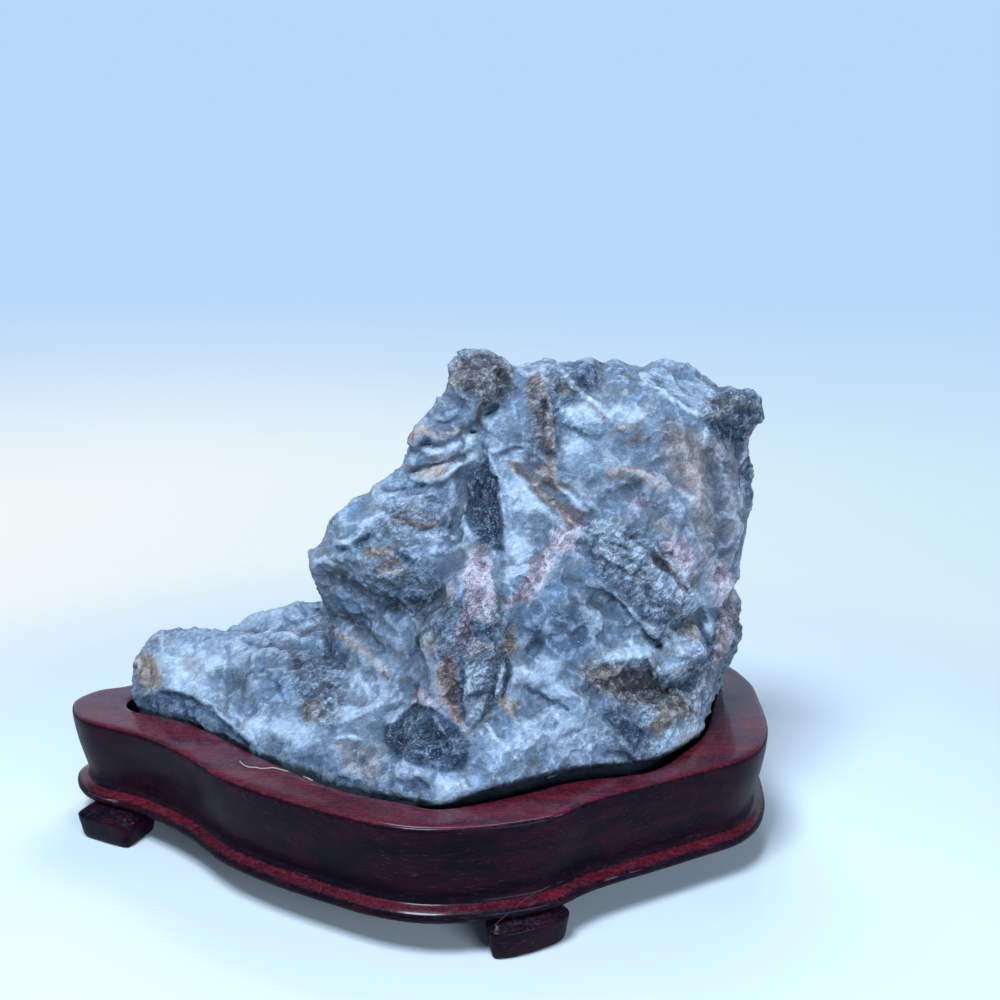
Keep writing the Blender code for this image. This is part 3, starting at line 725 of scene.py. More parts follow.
ochreLines = [
    (0.9, 4.5, [(420, 428), (430, 433), (438, 439), (448, 436), (458, 430), (466, 430)]),
    (0.8, 4, [(486, 398), (480, 410), (478, 424)]),
    (0.8, 4, [(396, 521), (408, 521), (422, 525), (436, 524)]),
    (0.6, 3, [(400, 514), (414, 511), (426, 513)]),
    (0.8, 5, [(368, 552), (380, 552), (392, 550)]),
    (0.8, 4, [(384, 569), (394, 572), (402, 570)]),
    (0.9, 6, [(513, 465), (526, 473), (537, 488), (550, 500), (566, 511), (578, 518)]),
    (0.7, 4, [(341, 636), (352, 643), (366, 651), (378, 665), (389, 678)]),
    (0.6, 3, [(547, 545), (546, 560), (540, 574), (530, 590), (520, 598)]),
    (0.6, 3, [(700, 417), (714, 415), (726, 417)]),
    (0.6, 4, [(470, 728), (480, 722), (490, 712)]),
    (0.5, 4, [(560, 386), (570, 392)]),
    (0.6, 4, [(620, 428), (636, 426), (640, 440), (624, 444)]),
    (0.5, 5, [(294, 650), (297, 666)]),
    (0.6, 4, [(318, 690), (326, 683), (334, 689)]),
    (0.5, 3, [(240, 696), (242, 684), (248, 675)]),
    (0.5, 3, [(384, 758), (382, 770), (390, 780)]),
]
rustAreas = [
    (0.75, 3, [(449, 651), (456, 660), (460, 674), (458, 690), (461, 706), (467, 730), (455, 725),
               (446, 711), (440, 700), (437, 685), (438, 669), (443, 658)]),
    (0.8, 6, [(564, 512), (578, 508), (588, 514), (584, 526), (570, 528), (562, 520)]),
    (0.85, 3, [(402, 438), (411, 429), (424, 427), (421, 436), (411, 445)]),
    (0.75, 6, [(708, 452), (720, 441), (732, 448), (728, 459), (712, 461)]),
    (0.4, 10, [(556, 378), (572, 378), (572, 394), (558, 394)]),
    (0.45, 6, [(446, 362), (470, 360), (500, 368), (508, 384), (488, 380), (462, 378)]),
]
rustLines = [
    (0.9, 3.5, [(483, 369), (490, 371), (494, 375)]),
    (0.7, 2.5, [(462, 361), (468, 364)]),
    (0.8, 3.5, [(384, 563), (392, 560), (400, 562)]),
    (0.7, 3, [(395, 521), (402, 519)]),
    (0.7, 3, [(332, 628), (340, 634), (350, 640)]),
    (0.85, 2.5, [(656, 558), (668, 569), (680, 582), (687, 590)]),
    (0.6, 4, [(608, 474), (630, 470), (650, 474), (664, 484)]),
    (0.7, 3, [(680, 488), (693, 484)]),
    (0.7, 3, [(498, 600), (508, 603), (522, 600), (534, 602)]),
    (0.6, 2.5, [(507, 632), (509, 645)]),
    (0.5, 3, [(700, 470), (703, 500), (704, 530)]),
    (0.5, 4, [(590, 405), (600, 412), (606, 417)]),
    (0.5, 3, [(622, 388), (630, 392)]),
    (0.6, 4, [(716, 656), (722, 640), (722, 620)]),
]
pinkAreas = [
    (0.95, 3, [(478, 542), (486, 548), (491, 562), (493, 582), (497, 602), (497, 626), (488, 632),
               (472, 630), (458, 632), (461, 614), (466, 600), (464, 580), (467, 560)]),
    (0.75, 5, [(550, 532), (564, 526), (580, 532), (578, 550), (562, 556), (550, 548)]),
    (0.95, 3, [(530, 556), (548, 550), (555, 562), (548, 575), (538, 590), (526, 600), (512, 608),
               (502, 608), (512, 598), (523, 586), (528, 572)]),
    (0.9, 3, [(416, 690), (422, 687), (428, 697), (438, 706), (430, 706), (420, 702), (412, 698)]),
    (0.6, 5, [(454, 636), (474, 640), (492, 646), (486, 656), (470, 660), (456, 650)]),
    (0.6, 5, [(628, 497), (644, 494), (652, 506), (640, 512), (628, 508)]),
    (0.7, 7, [(658, 540), (680, 536), (694, 548), (700, 575), (692, 586), (676, 570), (660, 555)]),
    (0.75, 6, [(708, 562), (728, 560), (736, 580), (739, 604), (737, 634), (726, 656), (712, 670),
               (707, 664), (716, 642), (719, 610), (712, 586)]),
    (0.35, 9, [(524, 366), (548, 366), (548, 384), (530, 388)]),
    (0.45, 8, [(690, 672), (712, 672), (714, 700), (704, 724), (692, 716)]),
    (0.4, 6, [(612, 666), (628, 664), (634, 676), (618, 680)]),
]
pinkLines = [
    (0.7, 3, [(466, 633), (480, 642), (494, 648)]),
    (0.5, 3, [(690, 484), (694, 492), (700, 498)]),
    (0.6, 3, [(420, 700), (434, 706), (444, 714)]),
]
# The dark grain tint is partly the stone's own dark mineral and partly painted shade: the shadowed strip in
# the cleft, the toe's underside, ledge undersides and the grooves.
shadeAndDarkGrainAreas = [
    (1.0, 3, [(468, 470), (478, 463), (484, 452), (491, 464), (498, 480), (502, 500), (505, 520),
              (504, 548), (497, 552), (489, 545), (478, 541), (470, 530), (465, 515), (469, 495)]),
    (1.0, 3, [(417, 705), (431, 706), (446, 717), (461, 731), (471, 740), (468, 752), (464, 768),
              (448, 774), (430, 768), (414, 764), (400, 758), (389, 748), (383, 738), (383, 729),
              (395, 723), (406, 711)]),
    (0.75, 4, [(571, 373), (581, 361), (597, 370), (597, 380), (588, 390), (576, 383)]),
    (0.95, 4, [(702, 419), (716, 420), (732, 426), (745, 421), (745, 440), (735, 443), (722, 438),
               (708, 431)]),
    (0.5, 6, [(422, 572), (440, 561), (462, 553), (470, 560), (455, 578), (440, 588), (426, 584)]),
    (0.5, 8, [(384, 582), (398, 587), (412, 592), (428, 604), (430, 620), (416, 618), (402, 606),
              (388, 596)]),
    (0.4, 8, [(555, 560), (568, 548), (582, 546), (580, 572), (574, 590), (562, 594), (555, 576)]),
    (0.85, 3, [(470, 622), (484, 620), (497, 624), (494, 640), (484, 645), (472, 638)]),
    (0.6, 8, [(566, 592), (580, 590), (588, 612), (590, 640), (600, 656), (588, 650), (574, 636),
              (566, 616)]),
    (1.0, 4, [(136, 698), (168, 696), (195, 701), (213, 709), (228, 722), (242, 736), (258, 746),
              (280, 772), (247, 764), (225, 746), (203, 736), (178, 727), (153, 722), (126, 712)]),
    (0.9, 6, [(250, 744), (275, 752), (300, 756), (322, 762), (344, 774), (372, 786), (404, 792),
              (404, 806), (366, 804), (319, 792), (270, 774)]),
    (0.8, 5, [(390, 776), (404, 779), (420, 776), (436, 786), (424, 792), (400, 790), (384, 784)]),
    (0.35, 10, [(655, 405), (676, 404), (694, 420), (700, 452), (684, 470), (668, 460), (660, 436)]),
    (0.35, 9, [(604, 500), (622, 498), (636, 514), (648, 524), (654, 534), (634, 530), (616, 516)]),
    (0.7, 4, [(600, 703), (622, 706), (640, 720), (650, 730), (640, 744), (634, 762), (624, 744),
              (608, 724)]),
    (0.5, 7, [(316, 560), (340, 566), (372, 580), (396, 600), (412, 628), (408, 644), (370, 628),
              (336, 616), (324, 600), (318, 580)]),
    (0.4, 8, [(268, 650), (296, 640), (318, 650), (312, 676), (290, 690), (270, 676)]),
    (0.35, 8, [(600, 588), (616, 596), (632, 610), (640, 622), (622, 616), (604, 604)]),
    (0.75, 10, [(512, 604), (556, 598), (588, 612), (596, 648), (570, 660), (524, 652), (510, 630)]),
    (0.6, 6, [(706, 536), (742, 536), (738, 556), (712, 562)]),
    (0.5, 8, [(430, 484), (468, 470), (468, 500), (450, 506), (432, 500)]),
    (0.45, 8, [(456, 352), (500, 350), (514, 384), (498, 410), (456, 394)]),
    (0.5, 7, [(720, 390), (764, 394), (762, 430), (738, 440)]),
    (0.45, 10, [(524, 378), (552, 384), (556, 468), (530, 462)]),
    (0.50, 8, [(420, 402), (470, 396), (476, 436), (430, 442)]),
    (0.45, 12, [(500, 400), (524, 392), (528, 450), (506, 456)]),
    (0.55, 12, [(700, 440), (742, 440), (740, 560), (704, 556)]),
]
shadeAndDarkGrainLines = [
    (0.5, 4, [(450, 375), (462, 368), (474, 367), (488, 367), (500, 374), (510, 386)]),
    (0.9, 3, [(418, 445), (424, 441), (430, 444)]),
    (0.8, 3, [(436, 442), (446, 441), (456, 434)]),
    (0.8, 2.5, [(384, 490), (400, 489), (424, 485)]),
    (0.8, 4, [(338, 548), (352, 548), (364, 540), (372, 535)]),
    (0.8, 4, [(398, 550), (408, 560), (420, 565)]),
    (0.8, 3, [(396, 518), (408, 521)]),
    (0.6, 6, [(326, 634), (333, 650), (342, 662)]),
    (0.7, 3, [(390, 677), (393, 682)]),
    (0.8, 3, [(541, 400), (546, 409)]),
    (0.9, 4, [(544, 452), (554, 455)]),
    (0.6, 4, [(562, 424), (578, 430), (598, 437)]),
    (0.7, 4, [(560, 468), (568, 474)]),
    (0.8, 3, [(734, 414), (747, 412), (757, 415)]),
    (0.9, 3, [(751, 421), (756, 423)]),
    (0.7, 4, [(749, 464), (751, 474), (748, 486)]),
    (0.8, 3, [(608, 540), (618, 545), (628, 551)]),
    (0.7, 4, [(590, 552), (606, 562), (624, 570)]),
    (0.6, 5, [(644, 596), (660, 602), (676, 606)]),
    (0.7, 4, [(640, 617), (654, 620), (668, 618)]),
    (1.0, 3, [(650, 636), (657, 641), (661, 647)]),
    (0.8, 3, [(645, 658), (650, 668), (658, 676)]),
    (0.9, 3, [(700, 624), (706, 636), (713, 648)]),
    (0.8, 3, [(740, 619), (742, 628)]),
    (0.8, 3, [(734, 645), (735, 656)]),
    (1.0, 2.5, [(524, 685), (536, 692), (546, 698), (557, 702), (567, 710)]),
    (0.9, 2.5, [(462, 670), (461, 690), (461, 706), (465, 722), (475, 728), (483, 718), (491, 704),
                (494, 688)]),
    (0.9, 2.5, [(494, 684), (497, 672), (500, 660), (508, 660), (509, 675), (505, 689)]),
    (0.7, 2, [(463, 697), (476, 694), (491, 693)]),
    (0.7, 2.5, [(418, 650), (417, 638), (426, 630), (440, 622), (450, 606)]),
    (0.6, 2.5, [(412, 655), (416, 672), (418, 690)]),
    (0.6, 2.5, [(466, 590), (456, 608), (446, 624), (436, 638)]),
    (0.7, 3, [(604, 716), (615, 725), (628, 737), (636, 750)]),
    (0.9, 4, [(630, 757), (636, 764)]),
    (0.6, 7, [(606, 754), (624, 753)]),
    (0.6, 3, [(243, 696), (243, 684), (248, 675), (258, 671), (268, 672), (277, 682), (281, 694)]),
    (0.7, 4, [(150, 695), (162, 691), (180, 694), (196, 700)]),
    (0.6, 3, [(292, 650), (296, 662)]),
    (0.7, 3, [(320, 688), (328, 684), (336, 690)]),
    (0.7, 2.5, [(326, 698), (331, 708)]),
    (0.6, 4, [(352, 752), (362, 758)]),
    (0.6, 3, [(500, 585), (504, 600)]),
]
# The bloom tint is partly the stone's pale bloom and partly painted highlight along lit ridges and on faces
# lit from above.
paleBloomAndHighlightAreas = [
    (0.6, 9, [(396, 528), (436, 524), (470, 514), (474, 532), (462, 545), (436, 556), (414, 552),
              (398, 544)]),
    (0.45, 10, [(400, 468), (430, 484), (478, 458), (478, 430), (450, 446), (424, 460)]),
    (0.8, 9, [(376, 494), (420, 494), (440, 506), (420, 508), (396, 512), (372, 506)]),
    (0.9, 8, [(508, 532), (530, 526), (530, 560), (518, 586), (506, 590), (503, 560)]),
    (0.9, 6, [(506, 450), (528, 446), (540, 460), (522, 464), (508, 458)]),
    (0.8, 6, [(504, 482), (522, 478), (530, 494), (548, 506), (540, 516), (516, 512), (506, 500)]),
    (0.8, 8, [(560, 430), (584, 438), (586, 452), (566, 462), (558, 448)]),
    (0.8, 7, [(566, 490), (584, 500), (590, 520), (600, 540), (588, 545), (576, 530)]),
    (0.7, 10, [(560, 396), (590, 408), (604, 424), (586, 428), (564, 418)]),
    (0.8, 9, [(604, 402), (640, 404), (650, 420), (630, 424), (610, 416)]),
    (0.9, 8, [(588, 522), (606, 520), (650, 556), (668, 580), (650, 590), (612, 566), (590, 545)]),
    (0.9, 7, [(612, 640), (640, 628), (654, 644), (644, 656), (616, 656)]),
    (0.6, 9, [(584, 606), (606, 606), (612, 632), (592, 640)]),
    (1.0, 7, [(652, 672), (684, 664), (700, 650), (690, 668), (680, 682), (660, 680)]),
    (0.8, 7, [(664, 628), (690, 636), (708, 652), (680, 654), (662, 646)]),
    (0.45, 14, [(500, 722), (540, 706), (600, 716), (606, 740), (590, 756), (540, 762), (490, 764),
                (486, 736)]),
    (0.7, 10, [(514, 660), (560, 662), (584, 690), (566, 698), (530, 682), (512, 672)]),
    (1.0, 14, [(330, 668), (372, 664), (396, 690), (400, 700), (350, 716), (300, 738), (250, 734),
               (238, 716), (290, 720), (330, 700)]),
    (0.8, 12, [(166, 640), (232, 640), (256, 655), (220, 672), (200, 690), (170, 688), (160, 660)]),
    (0.6, 14, [(232, 622), (276, 604), (322, 612), (320, 624), (270, 644), (236, 640)]),
    (0.7, 8, [(380, 752), (410, 764), (430, 772), (412, 778), (388, 770)]),
    (0.7, 8, [(434, 778), (462, 776), (470, 790), (446, 802), (432, 792)]),
    (0.8, 7, [(652, 716), (676, 722), (690, 738), (664, 744), (648, 738)]),
    (0.7, 7, [(696, 676), (712, 674), (713, 698), (702, 722), (694, 740), (690, 716)]),
    (0.6, 8, [(706, 470), (700, 410), (662, 386), (648, 372), (700, 380), (728, 396), (706, 408)]),
    (0.6, 8, [(612, 706), (652, 712), (648, 724), (626, 720)]),
    (0.7, 7, [(462, 668), (488, 660), (492, 680), (476, 690), (463, 690)]),
    (0.6, 6, [(464, 702), (486, 698), (484, 714), (470, 720)]),
    (0.8, 10, [(636, 566), (690, 574), (704, 600), (700, 622), (660, 606), (640, 590)]),
    (0.8, 8, [(644, 712), (690, 714), (704, 726), (696, 744), (650, 748)]),
]
paleBloomAndHighlightLines = [
    (1.0, 2.5, [(552, 367), (561, 371), (567, 379), (576, 389), (590, 399), (604, 411), (612, 415)]),
    (0.9, 2.5, [(641, 373), (651, 383), (664, 393), (680, 404), (692, 412), (704, 416), (722, 411)]),
    (0.9, 2.5, [(311, 566), (316, 562), (325, 560), (333, 565)]),
    (0.8, 3, [(334, 543), (350, 541), (358, 532), (370, 521), (380, 515), (389, 519), (394, 531)]),
    (0.9, 3, [(413, 479), (430, 482), (446, 476), (462, 463), (476, 456)]),
    (0.8, 3, [(428, 452), (446, 452), (462, 442), (478, 432)]),
    (0.9, 2, [(485, 452), (491, 462), (498, 478), (502, 500), (505, 524)]),
    (0.8, 2.5, [(488, 452), (502, 448), (516, 444), (528, 444)]),
    (0.7, 1.5, [(518, 402), (521, 420), (523, 438)]),
    (0.9, 2.5, [(541, 462), (550, 464), (556, 461)]),
    (0.9, 3, [(554, 482), (566, 492), (578, 503), (588, 513)]),
    (0.8, 3, [(462, 360), (474, 355), (484, 352)]),
    (0.8, 3, [(655, 472), (669, 481), (682, 493), (694, 500)]),
    (1.0, 2.5, [(594, 662), (608, 661), (622, 658), (634, 655), (646, 655)]),
    (0.9, 2.5, [(615, 594), (629, 607), (641, 621), (652, 632), (661, 643)]),
    (0.8, 2.5, [(196, 700), (212, 709), (224, 718), (236, 726), (250, 738)]),
    (0.9, 2, [(336, 724), (352, 716), (372, 708), (392, 702)]),
    (0.8, 2.5, [(386, 726), (396, 718), (406, 708), (415, 702)]),
    (0.7, 3, [(746, 442), (744, 460), (741, 482), (740, 505)]),
    (0.9, 2.5, [(502, 666), (500, 680), (497, 694)]),
    (0.7, 2, [(486, 724), (500, 742), (518, 760)]),
    (0.8, 3, [(618, 730), (624, 741), (634, 752)]),
    (0.8, 3, [(604, 523), (618, 528), (632, 535)]),
    (0.8, 3, [(606, 532), (622, 540), (638, 552)]),
    (0.8, 3, [(600, 560), (622, 568), (640, 578), (660, 586)]),
    (0.7, 3, [(700, 596), (706, 612), (711, 630)]),
    (0.8, 3, [(334, 738), (348, 735), (362, 739)]),
    (0.8, 5, [(530, 374), (541, 370), (548, 384)]),
    (0.7, 2, [(671, 373), (674, 376)]),
    (0.7, 1.5, [(683, 382), (690, 377)]),
]
stonePaint = {
    "ochre": (ochreAreas, ochreLines),
    "rust": (rustAreas, rustLines),
    "pink": (pinkAreas, pinkLines),
    "shadeAndDarkGrain": (shadeAndDarkGrainAreas, shadeAndDarkGrainLines),
    "paleBloomAndHighlight": (paleBloomAndHighlightAreas, paleBloomAndHighlightLines),
}


def drawnMask(across, down, areas, lines=()):
    # soft mask of the drawn areas and lines; the strongest counts where they overlap
    mask = np.zeros(len(across))
    for strength, soft, corners in areas:
        distance, _, _ = lineDistance(across, down, corners + corners[:1])
        signed = np.where(insideArea(across, down, corners), distance, -distance)
        mask = np.maximum(mask, strength * step(signed, -soft * 1.5, soft * 1.2))
    for strength, width, line in lines:
        distance, _, _ = lineDistance(across, down, line)
        mask = np.maximum(mask, strength * (1 - step(distance, width * 0.2, width * 1.7)))
    return mask


def rayThrough(pixel):
    # direction in which the camera sees a pixel of its frame
    tilt = math.atan(cameraLook["slope"])
    across = (pixel[0] - cameraLook["middle"]) / cameraLook["focalPixels"]
    rise = -(pixel[1] - cameraLook["middle"]) / cameraLook["focalPixels"]
    return Vector((across, math.cos(tilt) + rise * math.sin(tilt), rise * math.cos(tilt) - math.sin(tilt)))


def treeOf(mesh):
    # for looking up the nearest point of a mesh, or where a ray meets it
    return BVHTree.FromPolygons([v.co for v in mesh.vertices], [tuple(f.vertices) for f in mesh.polygons])


def seenByCamera(mesh, points, normals):
    # 1 where a point faces the camera with nothing in between
    eye = np.array(cameraLook["at"])
    toEye = eye - points
    toEye /= np.linalg.norm(toEye, axis=1)[:, None]
    facing = (toEye * normals).sum(axis=1)
    tree = treeOf(mesh)
    seen = np.zeros(len(points))
    for i in np.nonzero(facing > 0.02)[0]:
        start = points[i] + toEye[i] * 1.2 * mm + normals[i] * 0.6 * mm
        if tree.ray_cast(Vector(start), Vector(toEye[i]), 0.5)[0] is None:
            seen[i] = step(facing[i], 0.02, 0.25)
    return seen, facing, toEye


def drawnLift(across, down, seen, place):
    # how far the drawn ledges and ridges raise each point, in mm, broken up along their length
    lift = np.zeros(len(across))
    uneven = 0.30 + 0.95 * step(layered(place, 6.5, 15, 2), -0.45, 0.45)
    used = seen > 0
    a, d = across[used], down[used]
    total = np.zeros(len(a))
    for height, reach, line in stoneLedges:
        distance, share, side = lineDistance(a, d, line)
        taper = step(share, 0, 0.18) * step(1 - share, 0, 0.18)
        proud = np.where(side > 0, np.exp(-distance / reach), np.exp(-(distance / 1.6) ** 2))
        hollow = np.where(side < 0, np.exp(-((distance - 3) / 4.5) ** 2), 0) * -0.35
        total += 0.85 * height * (proud + hollow) * taper
    for height, width, line in stoneRidges:
        distance, share, _ = lineDistance(a, d, line)
        ends = 1.0 if len(line) == 1 else step(share, -0.12, 0.15) * step(1 - share, -0.12, 0.15)
        total += height * np.exp(-(distance / width) ** 2) * ends
    lift[used] = total * uneven[used]
    return lift * seen


def closedLine(corners, steps):
    # even smooth line through the corners, in mm
    line = []
    corners = [Vector((*corner, 0)[:3]) for corner in corners]
    for i in range(len(corners)):
        a, b, c, d = (corners[(i + k) % len(corners)] for k in (-1, 0, 1, 2))
        for part in range(steps):
            t = part / steps
            line.append(0.5 * (2 * b + (c - a) * t + (2 * a - 5 * b + 4 * c - d) * t ** 2
                               + (3 * b - a - 3 * c + d) * t ** 3))
    return line


def pocketRing():
    # the air between the stone's underside and the pocket's wall, open to the dark gap at the rim
    look = stoneLook
    depth = look["ringDepth"]
    corners = [(x, y, top) for (x, y), top in zip(pocketOutline, stoneClearance)]
    line = closedLine(corners, 4)
    count = len(line)
    outward = []
    for i in range(count):
        along = line[(i + 1) % count] - line[i - 1]
        outward.append(Vector((along.y, -along.x, 0)).normalized())
    bm = bmesh.new()
    rings = []
    reach = look["ringReach"]
    for low, out in ((True, reach), (False, reach), (False, 1.0), (False, -depth), (True, -depth)):
        ring = []
        for point, away in zip(line, outward):
            place = point + away * out
            if low:
                place.z = look["ringFoot"]
            elif out < 0:
                place.z -= look["ringSlope"]
            ring.append(bm.verts.new(place * mm))
        rings.append(ring)
    for low, high in zip(rings, rings[1:] + rings[:1]):
        for i in range(count):
            bm.faces.new((low[i], low[(i + 1) % count], high[(i + 1) % count], high[i]))
    bmesh.ops.recalc_face_normals(bm, faces=bm.faces)
    mesh = bpy.data.meshes.new("pocketRing")
    bm.to_mesh(mesh)
    bm.free()
    return newObject("pocketRing", mesh)


def fillCleft(bm):
    eye = Vector(cameraLook["at"])
    corners = []
    for u, v, depth in cleftFace:
        ray = rayThrough((u, v))
        front = eye + ray * ((depth * mm - eye.y) / ray.y)
        corners.append(bm.verts.new(front))
        corners.append(bm.verts.new(front + Vector((0, cleftDepth * mm, 0))))
    bmesh.ops.convex_hull(bm, input=corners)
    bmesh.ops.recalc_face_normals(bm, faces=bm.faces)


def roughOutStone():
    # the CAD stone, undercut by the pocket's air, with its cleft filled, as one fine skin
    mesh = nodes["stone"].data.copy()
    bm = bmesh.new()
    bm.from_mesh(mesh)
    bmesh.ops.remove_doubles(bm, verts=bm.verts, dist=1e-6)
    bm.to_mesh(mesh)
    bm.free()
    obj = newObject("carvedStone", mesh)
    ring = pocketRing()
    ringTree = treeOf(ring.data)
    cut = obj.modifiers.new("undercut", "BOOLEAN")
    cut.object = ring
    cut.solver = "EXACT"
    mesh = finishedMesh(obj)
    bpy.data.objects.remove(ring)
    bm = bmesh.new()
    bm.from_mesh(mesh)
    fillCleft(bm)
    bm.to_mesh(mesh)
    bm.free()
    remesh = obj.modifiers.new("fineSkin", "REMESH")
    remesh.mode = "VOXEL"
    remesh.voxel_size = stoneLook["voxel"] * mm
    mesh = finishedMesh(obj)
    movePoints(mesh, smoothed(pointsOf(mesh), edgesOf(mesh), stoneLook["facetSoftening"], 0.6))
    print("stone skin:", len(mesh.vertices), "points")
    return obj, ringTree


def weathered(lift, place, across, down, seen):
    # adds chips and crinkles all over, calmer where the bloom is smooth
    look = stoneLook
    bends = [layered(place, 11.0, 31 + k, 2) for k in range(3)]
    bent = place + look["bend"] * np.stack(bends, axis=1)
    hidden = 1 - seen
    calm = drawnMask(across, down, *stonePaint["paleBloomAndHighlight"]) * seen
    crinkled = drawnMask(across, down, flakyAreas) * seen
    crinkled = np.maximum(crinkled, hidden * step(layered(place, 26.0, 67, 2), 0.05, 0.35))
    rough = 0.15 + 0.70 * step(layered(place, 18.0, 61, 2), -0.25, 0.30)
    rough = np.maximum(rough * (1 - 0.6 * calm), crinkled)

    for index, (size, depth, dish, least, most) in enumerate(look["chips"]):
        height, edge, hollow = chips(bent * np.array((1.0, 1.0, 1.25)), size, 3 + 20 * index)
        height = height * (0.7 + 0.3 * step(edge, 0, 0.1)) + dish * hollow
        keep = least + (most - least) * rough
        if index == 0:
            keep = keep + 0.9 * hidden
        lift += depth * height * keep

    along = (bent[:, 0] - bent[:, 2]) * 0.38
    aslant = (bent[:, 0] + bent[:, 2]) * 0.95
    slanted = np.stack([along, bent[:, 1] * 0.8, aslant], axis=1)
    height, _, hollow = chips(slanted, look["flakeSize"], 83)
    lift += look["flakeHeight"] * (height + 0.5 * hollow) * crinkled

    stretched = bent * np.array((1.0, 1.0, 1.9)) + np.array((0.0, 0.0, 0.45)) * bent[:, :1]
    terrace = layered(stretched, look["terraceSize"], 71, 3, True)
    lift += (0.15 + 0.95 * hidden) * (terrace - 0.2) * (0.4 + 0.6 * rough)
    lift += look["crinkleHeight"] * rough * layered(bent, look["crinkleSize"], 41, 3)
    lift += look["grainHeight"] * rough * layered(place, look["grainSize"], 53, 2)
    return lift


def carveStone():
    look = stoneLook
    obj, ringTree = roughOutStone()
    mesh = obj.data
    edges = edgesOf(mesh)
    points = pointsOf(mesh)
    normals = normalsOf(mesh)
    place = points / mm
    across, down, _ = toPixels(points)
    seen, facing, toEye = seenByCamera(mesh, points, normals)
    across += look["wander"] * layered(place, 5.0, 5, 2)
    down += look["wander"] * layered(place, 5.0, 9, 2)

    lift = weathered(drawnLift(across, down, seen, place), place, across, down, seen)
    lift *= 0.55 + 0.45 * step(np.abs(facing), 0.05, 0.40)
    lift = np.clip(lift, -look["mostLift"] * 1.6, look["mostLift"])
    lowDown = 1 - step(place[:, 2], look["keepBelow"] - 4, look["keepBelow"] + 3)
    lift = np.where(lift > 0, lift * (1 - lowDown), lift)

    # the drawn relief goes towards the camera where that is seen face on
    lean = (seen * step(facing, 0.25, 0.7) * 0.5)[:, None]
    direction = normals * (1 - lean) + toEye * lean
    direction /= np.linalg.norm(direction, axis=1)[:, None]
    points = points + direction * lift[:, None] * mm
    points = smoothed(points, edges, 1, 0.12)
    movePoints(mesh, np.clip(points, np.array(cadBox[0]), np.array(cadBox[1])))

    thin = obj.modifiers.new("thin", "DECIMATE")
    thin.ratio = look["triangles"] / sum(len(f.vertices) - 2 for f in mesh.polygons)
    mesh = finishedMesh(obj)
    mesh.validate()
    smoothFaces(mesh)
    print("stone carved:", sum(len(f.vertices) - 2 for f in mesh.polygons), "triangles")
    return obj, ringTree


paintLook = {
    "wander": 3.2,              # how far the drawn tints stray, in pixels
    "wanderSize": 3.4,
    "scales": [(6, 0.22), (45, 0.75), (240, 1.8)],    # rounds of smoothing, and what counts as proud in mm
    "gapBelow": 51,             # mm, height under which the gap's painted shadow lies
    "gapWidth": (0.7, 1.5),     # mm from the pocket's air
}


def paintStone(obj, ringTree):
    mesh = obj.data
    points = pointsOf(mesh)
    normals = normalsOf(mesh)
    edges = edgesOf(mesh)
    across, down, _ = toPixels(points)
    seen, _, _ = seenByCamera(mesh, points, normals)
    place = points / mm
    across += paintLook["wander"] * layered(place, paintLook["wanderSize"], 205, 3)
    down += paintLook["wander"] * layered(place, paintLook["wanderSize"], 209, 3)
    hidden = 1 - seen

    # how proud or hollow each point is, at three scales
    near, wide, broad = (
        ((points - smoothed(points, edges, times, 0.8)) * normals).sum(axis=1) / (height * mm)
        for times, height in paintLook["scales"])
    proud = np.tanh(near) * 0.40 + np.tanh(wide) * 0.40 + np.tanh(broad) * 0.20
    setAttribute(mesh, "proud", np.clip(proud, -1, 1) * 0.5 + 0.5)
    setAttribute(mesh, "proudFine", np.tanh(near) * 0.5 + 0.5)

    # painted shadow in the gap round the stone's foot, and on all the stone below the rim
    gapShade = np.zeros(len(points))
    for i in np.nonzero(place[:, 2] < paintLook["gapBelow"])[0]:
        distance = ringTree.find_nearest(Vector(points[i]))[3] / mm
        gapShade[i] = 1 - step(distance, *paintLook["gapWidth"])
    gapShade = np.maximum(gapShade * step(place[:, 0], 4.0, 20.0), 1 - step(place[:, 2], 42.8, 43.8))
    setAttribute(mesh, "gapShade", gapShade)
    flaky = drawnMask(across, down, flakyAreas) * step(seen, 0, 0.5)
    setAttribute(mesh, "flaky", np.maximum(flaky, hidden * 0.5))

    # unseen sides get their own patches of the same tints; there the dark grain goes into broad hollows as
    # painted shade and the bloom onto proud parts as painted highlight
    wander = place + 4 * np.stack([layered(place, 14.0, 301 + k, 2) for k in range(3)], axis=1)
    loose = {
        "ochre": step(layered(wander, 26.0, 311, 3), 0.22, 0.5) * 0.7,
        "rust": step(layered(wander, 19.0, 321, 3), 0.36, 0.55) * 0.7,
        "pink": step(layered(wander, 30.0, 331, 3), 0.30, 0.5) * 0.6,
        "shadeAndDarkGrain": step(layered(wander, 22.0, 341, 3), 0.14, 0.42) * step(-wide, -0.6, 0.9) * 0.85,
        "paleBloomAndHighlight": step(layered(wander, 28.0, 351, 3), -0.15, 0.4) * step(proud, -0.2, 0.5) * 0.9,
    }
    for name, (areas, lines) in stonePaint.items():
        mask = drawnMask(across, down, areas, lines) * step(seen, 0, 0.5)
        mask = np.maximum(mask, loose[name] * step(hidden, 0.5, 1))
        if name == "paleBloomAndHighlight":
            # upward faces that stand proud are made paler: painted highlight from the light above
            facingUp = step(normals[:, 2], 0.15, 0.9)
            mask = np.maximum(mask, 0.22 * facingUp * step(proud, -0.3, 0.4))
        mask = mask * step(place[:, 2], 42.5, 45.0)
        setAttribute(mesh, name, np.clip(mask, 0, 1))
    print("stone painted")


# finishes shared by the materials


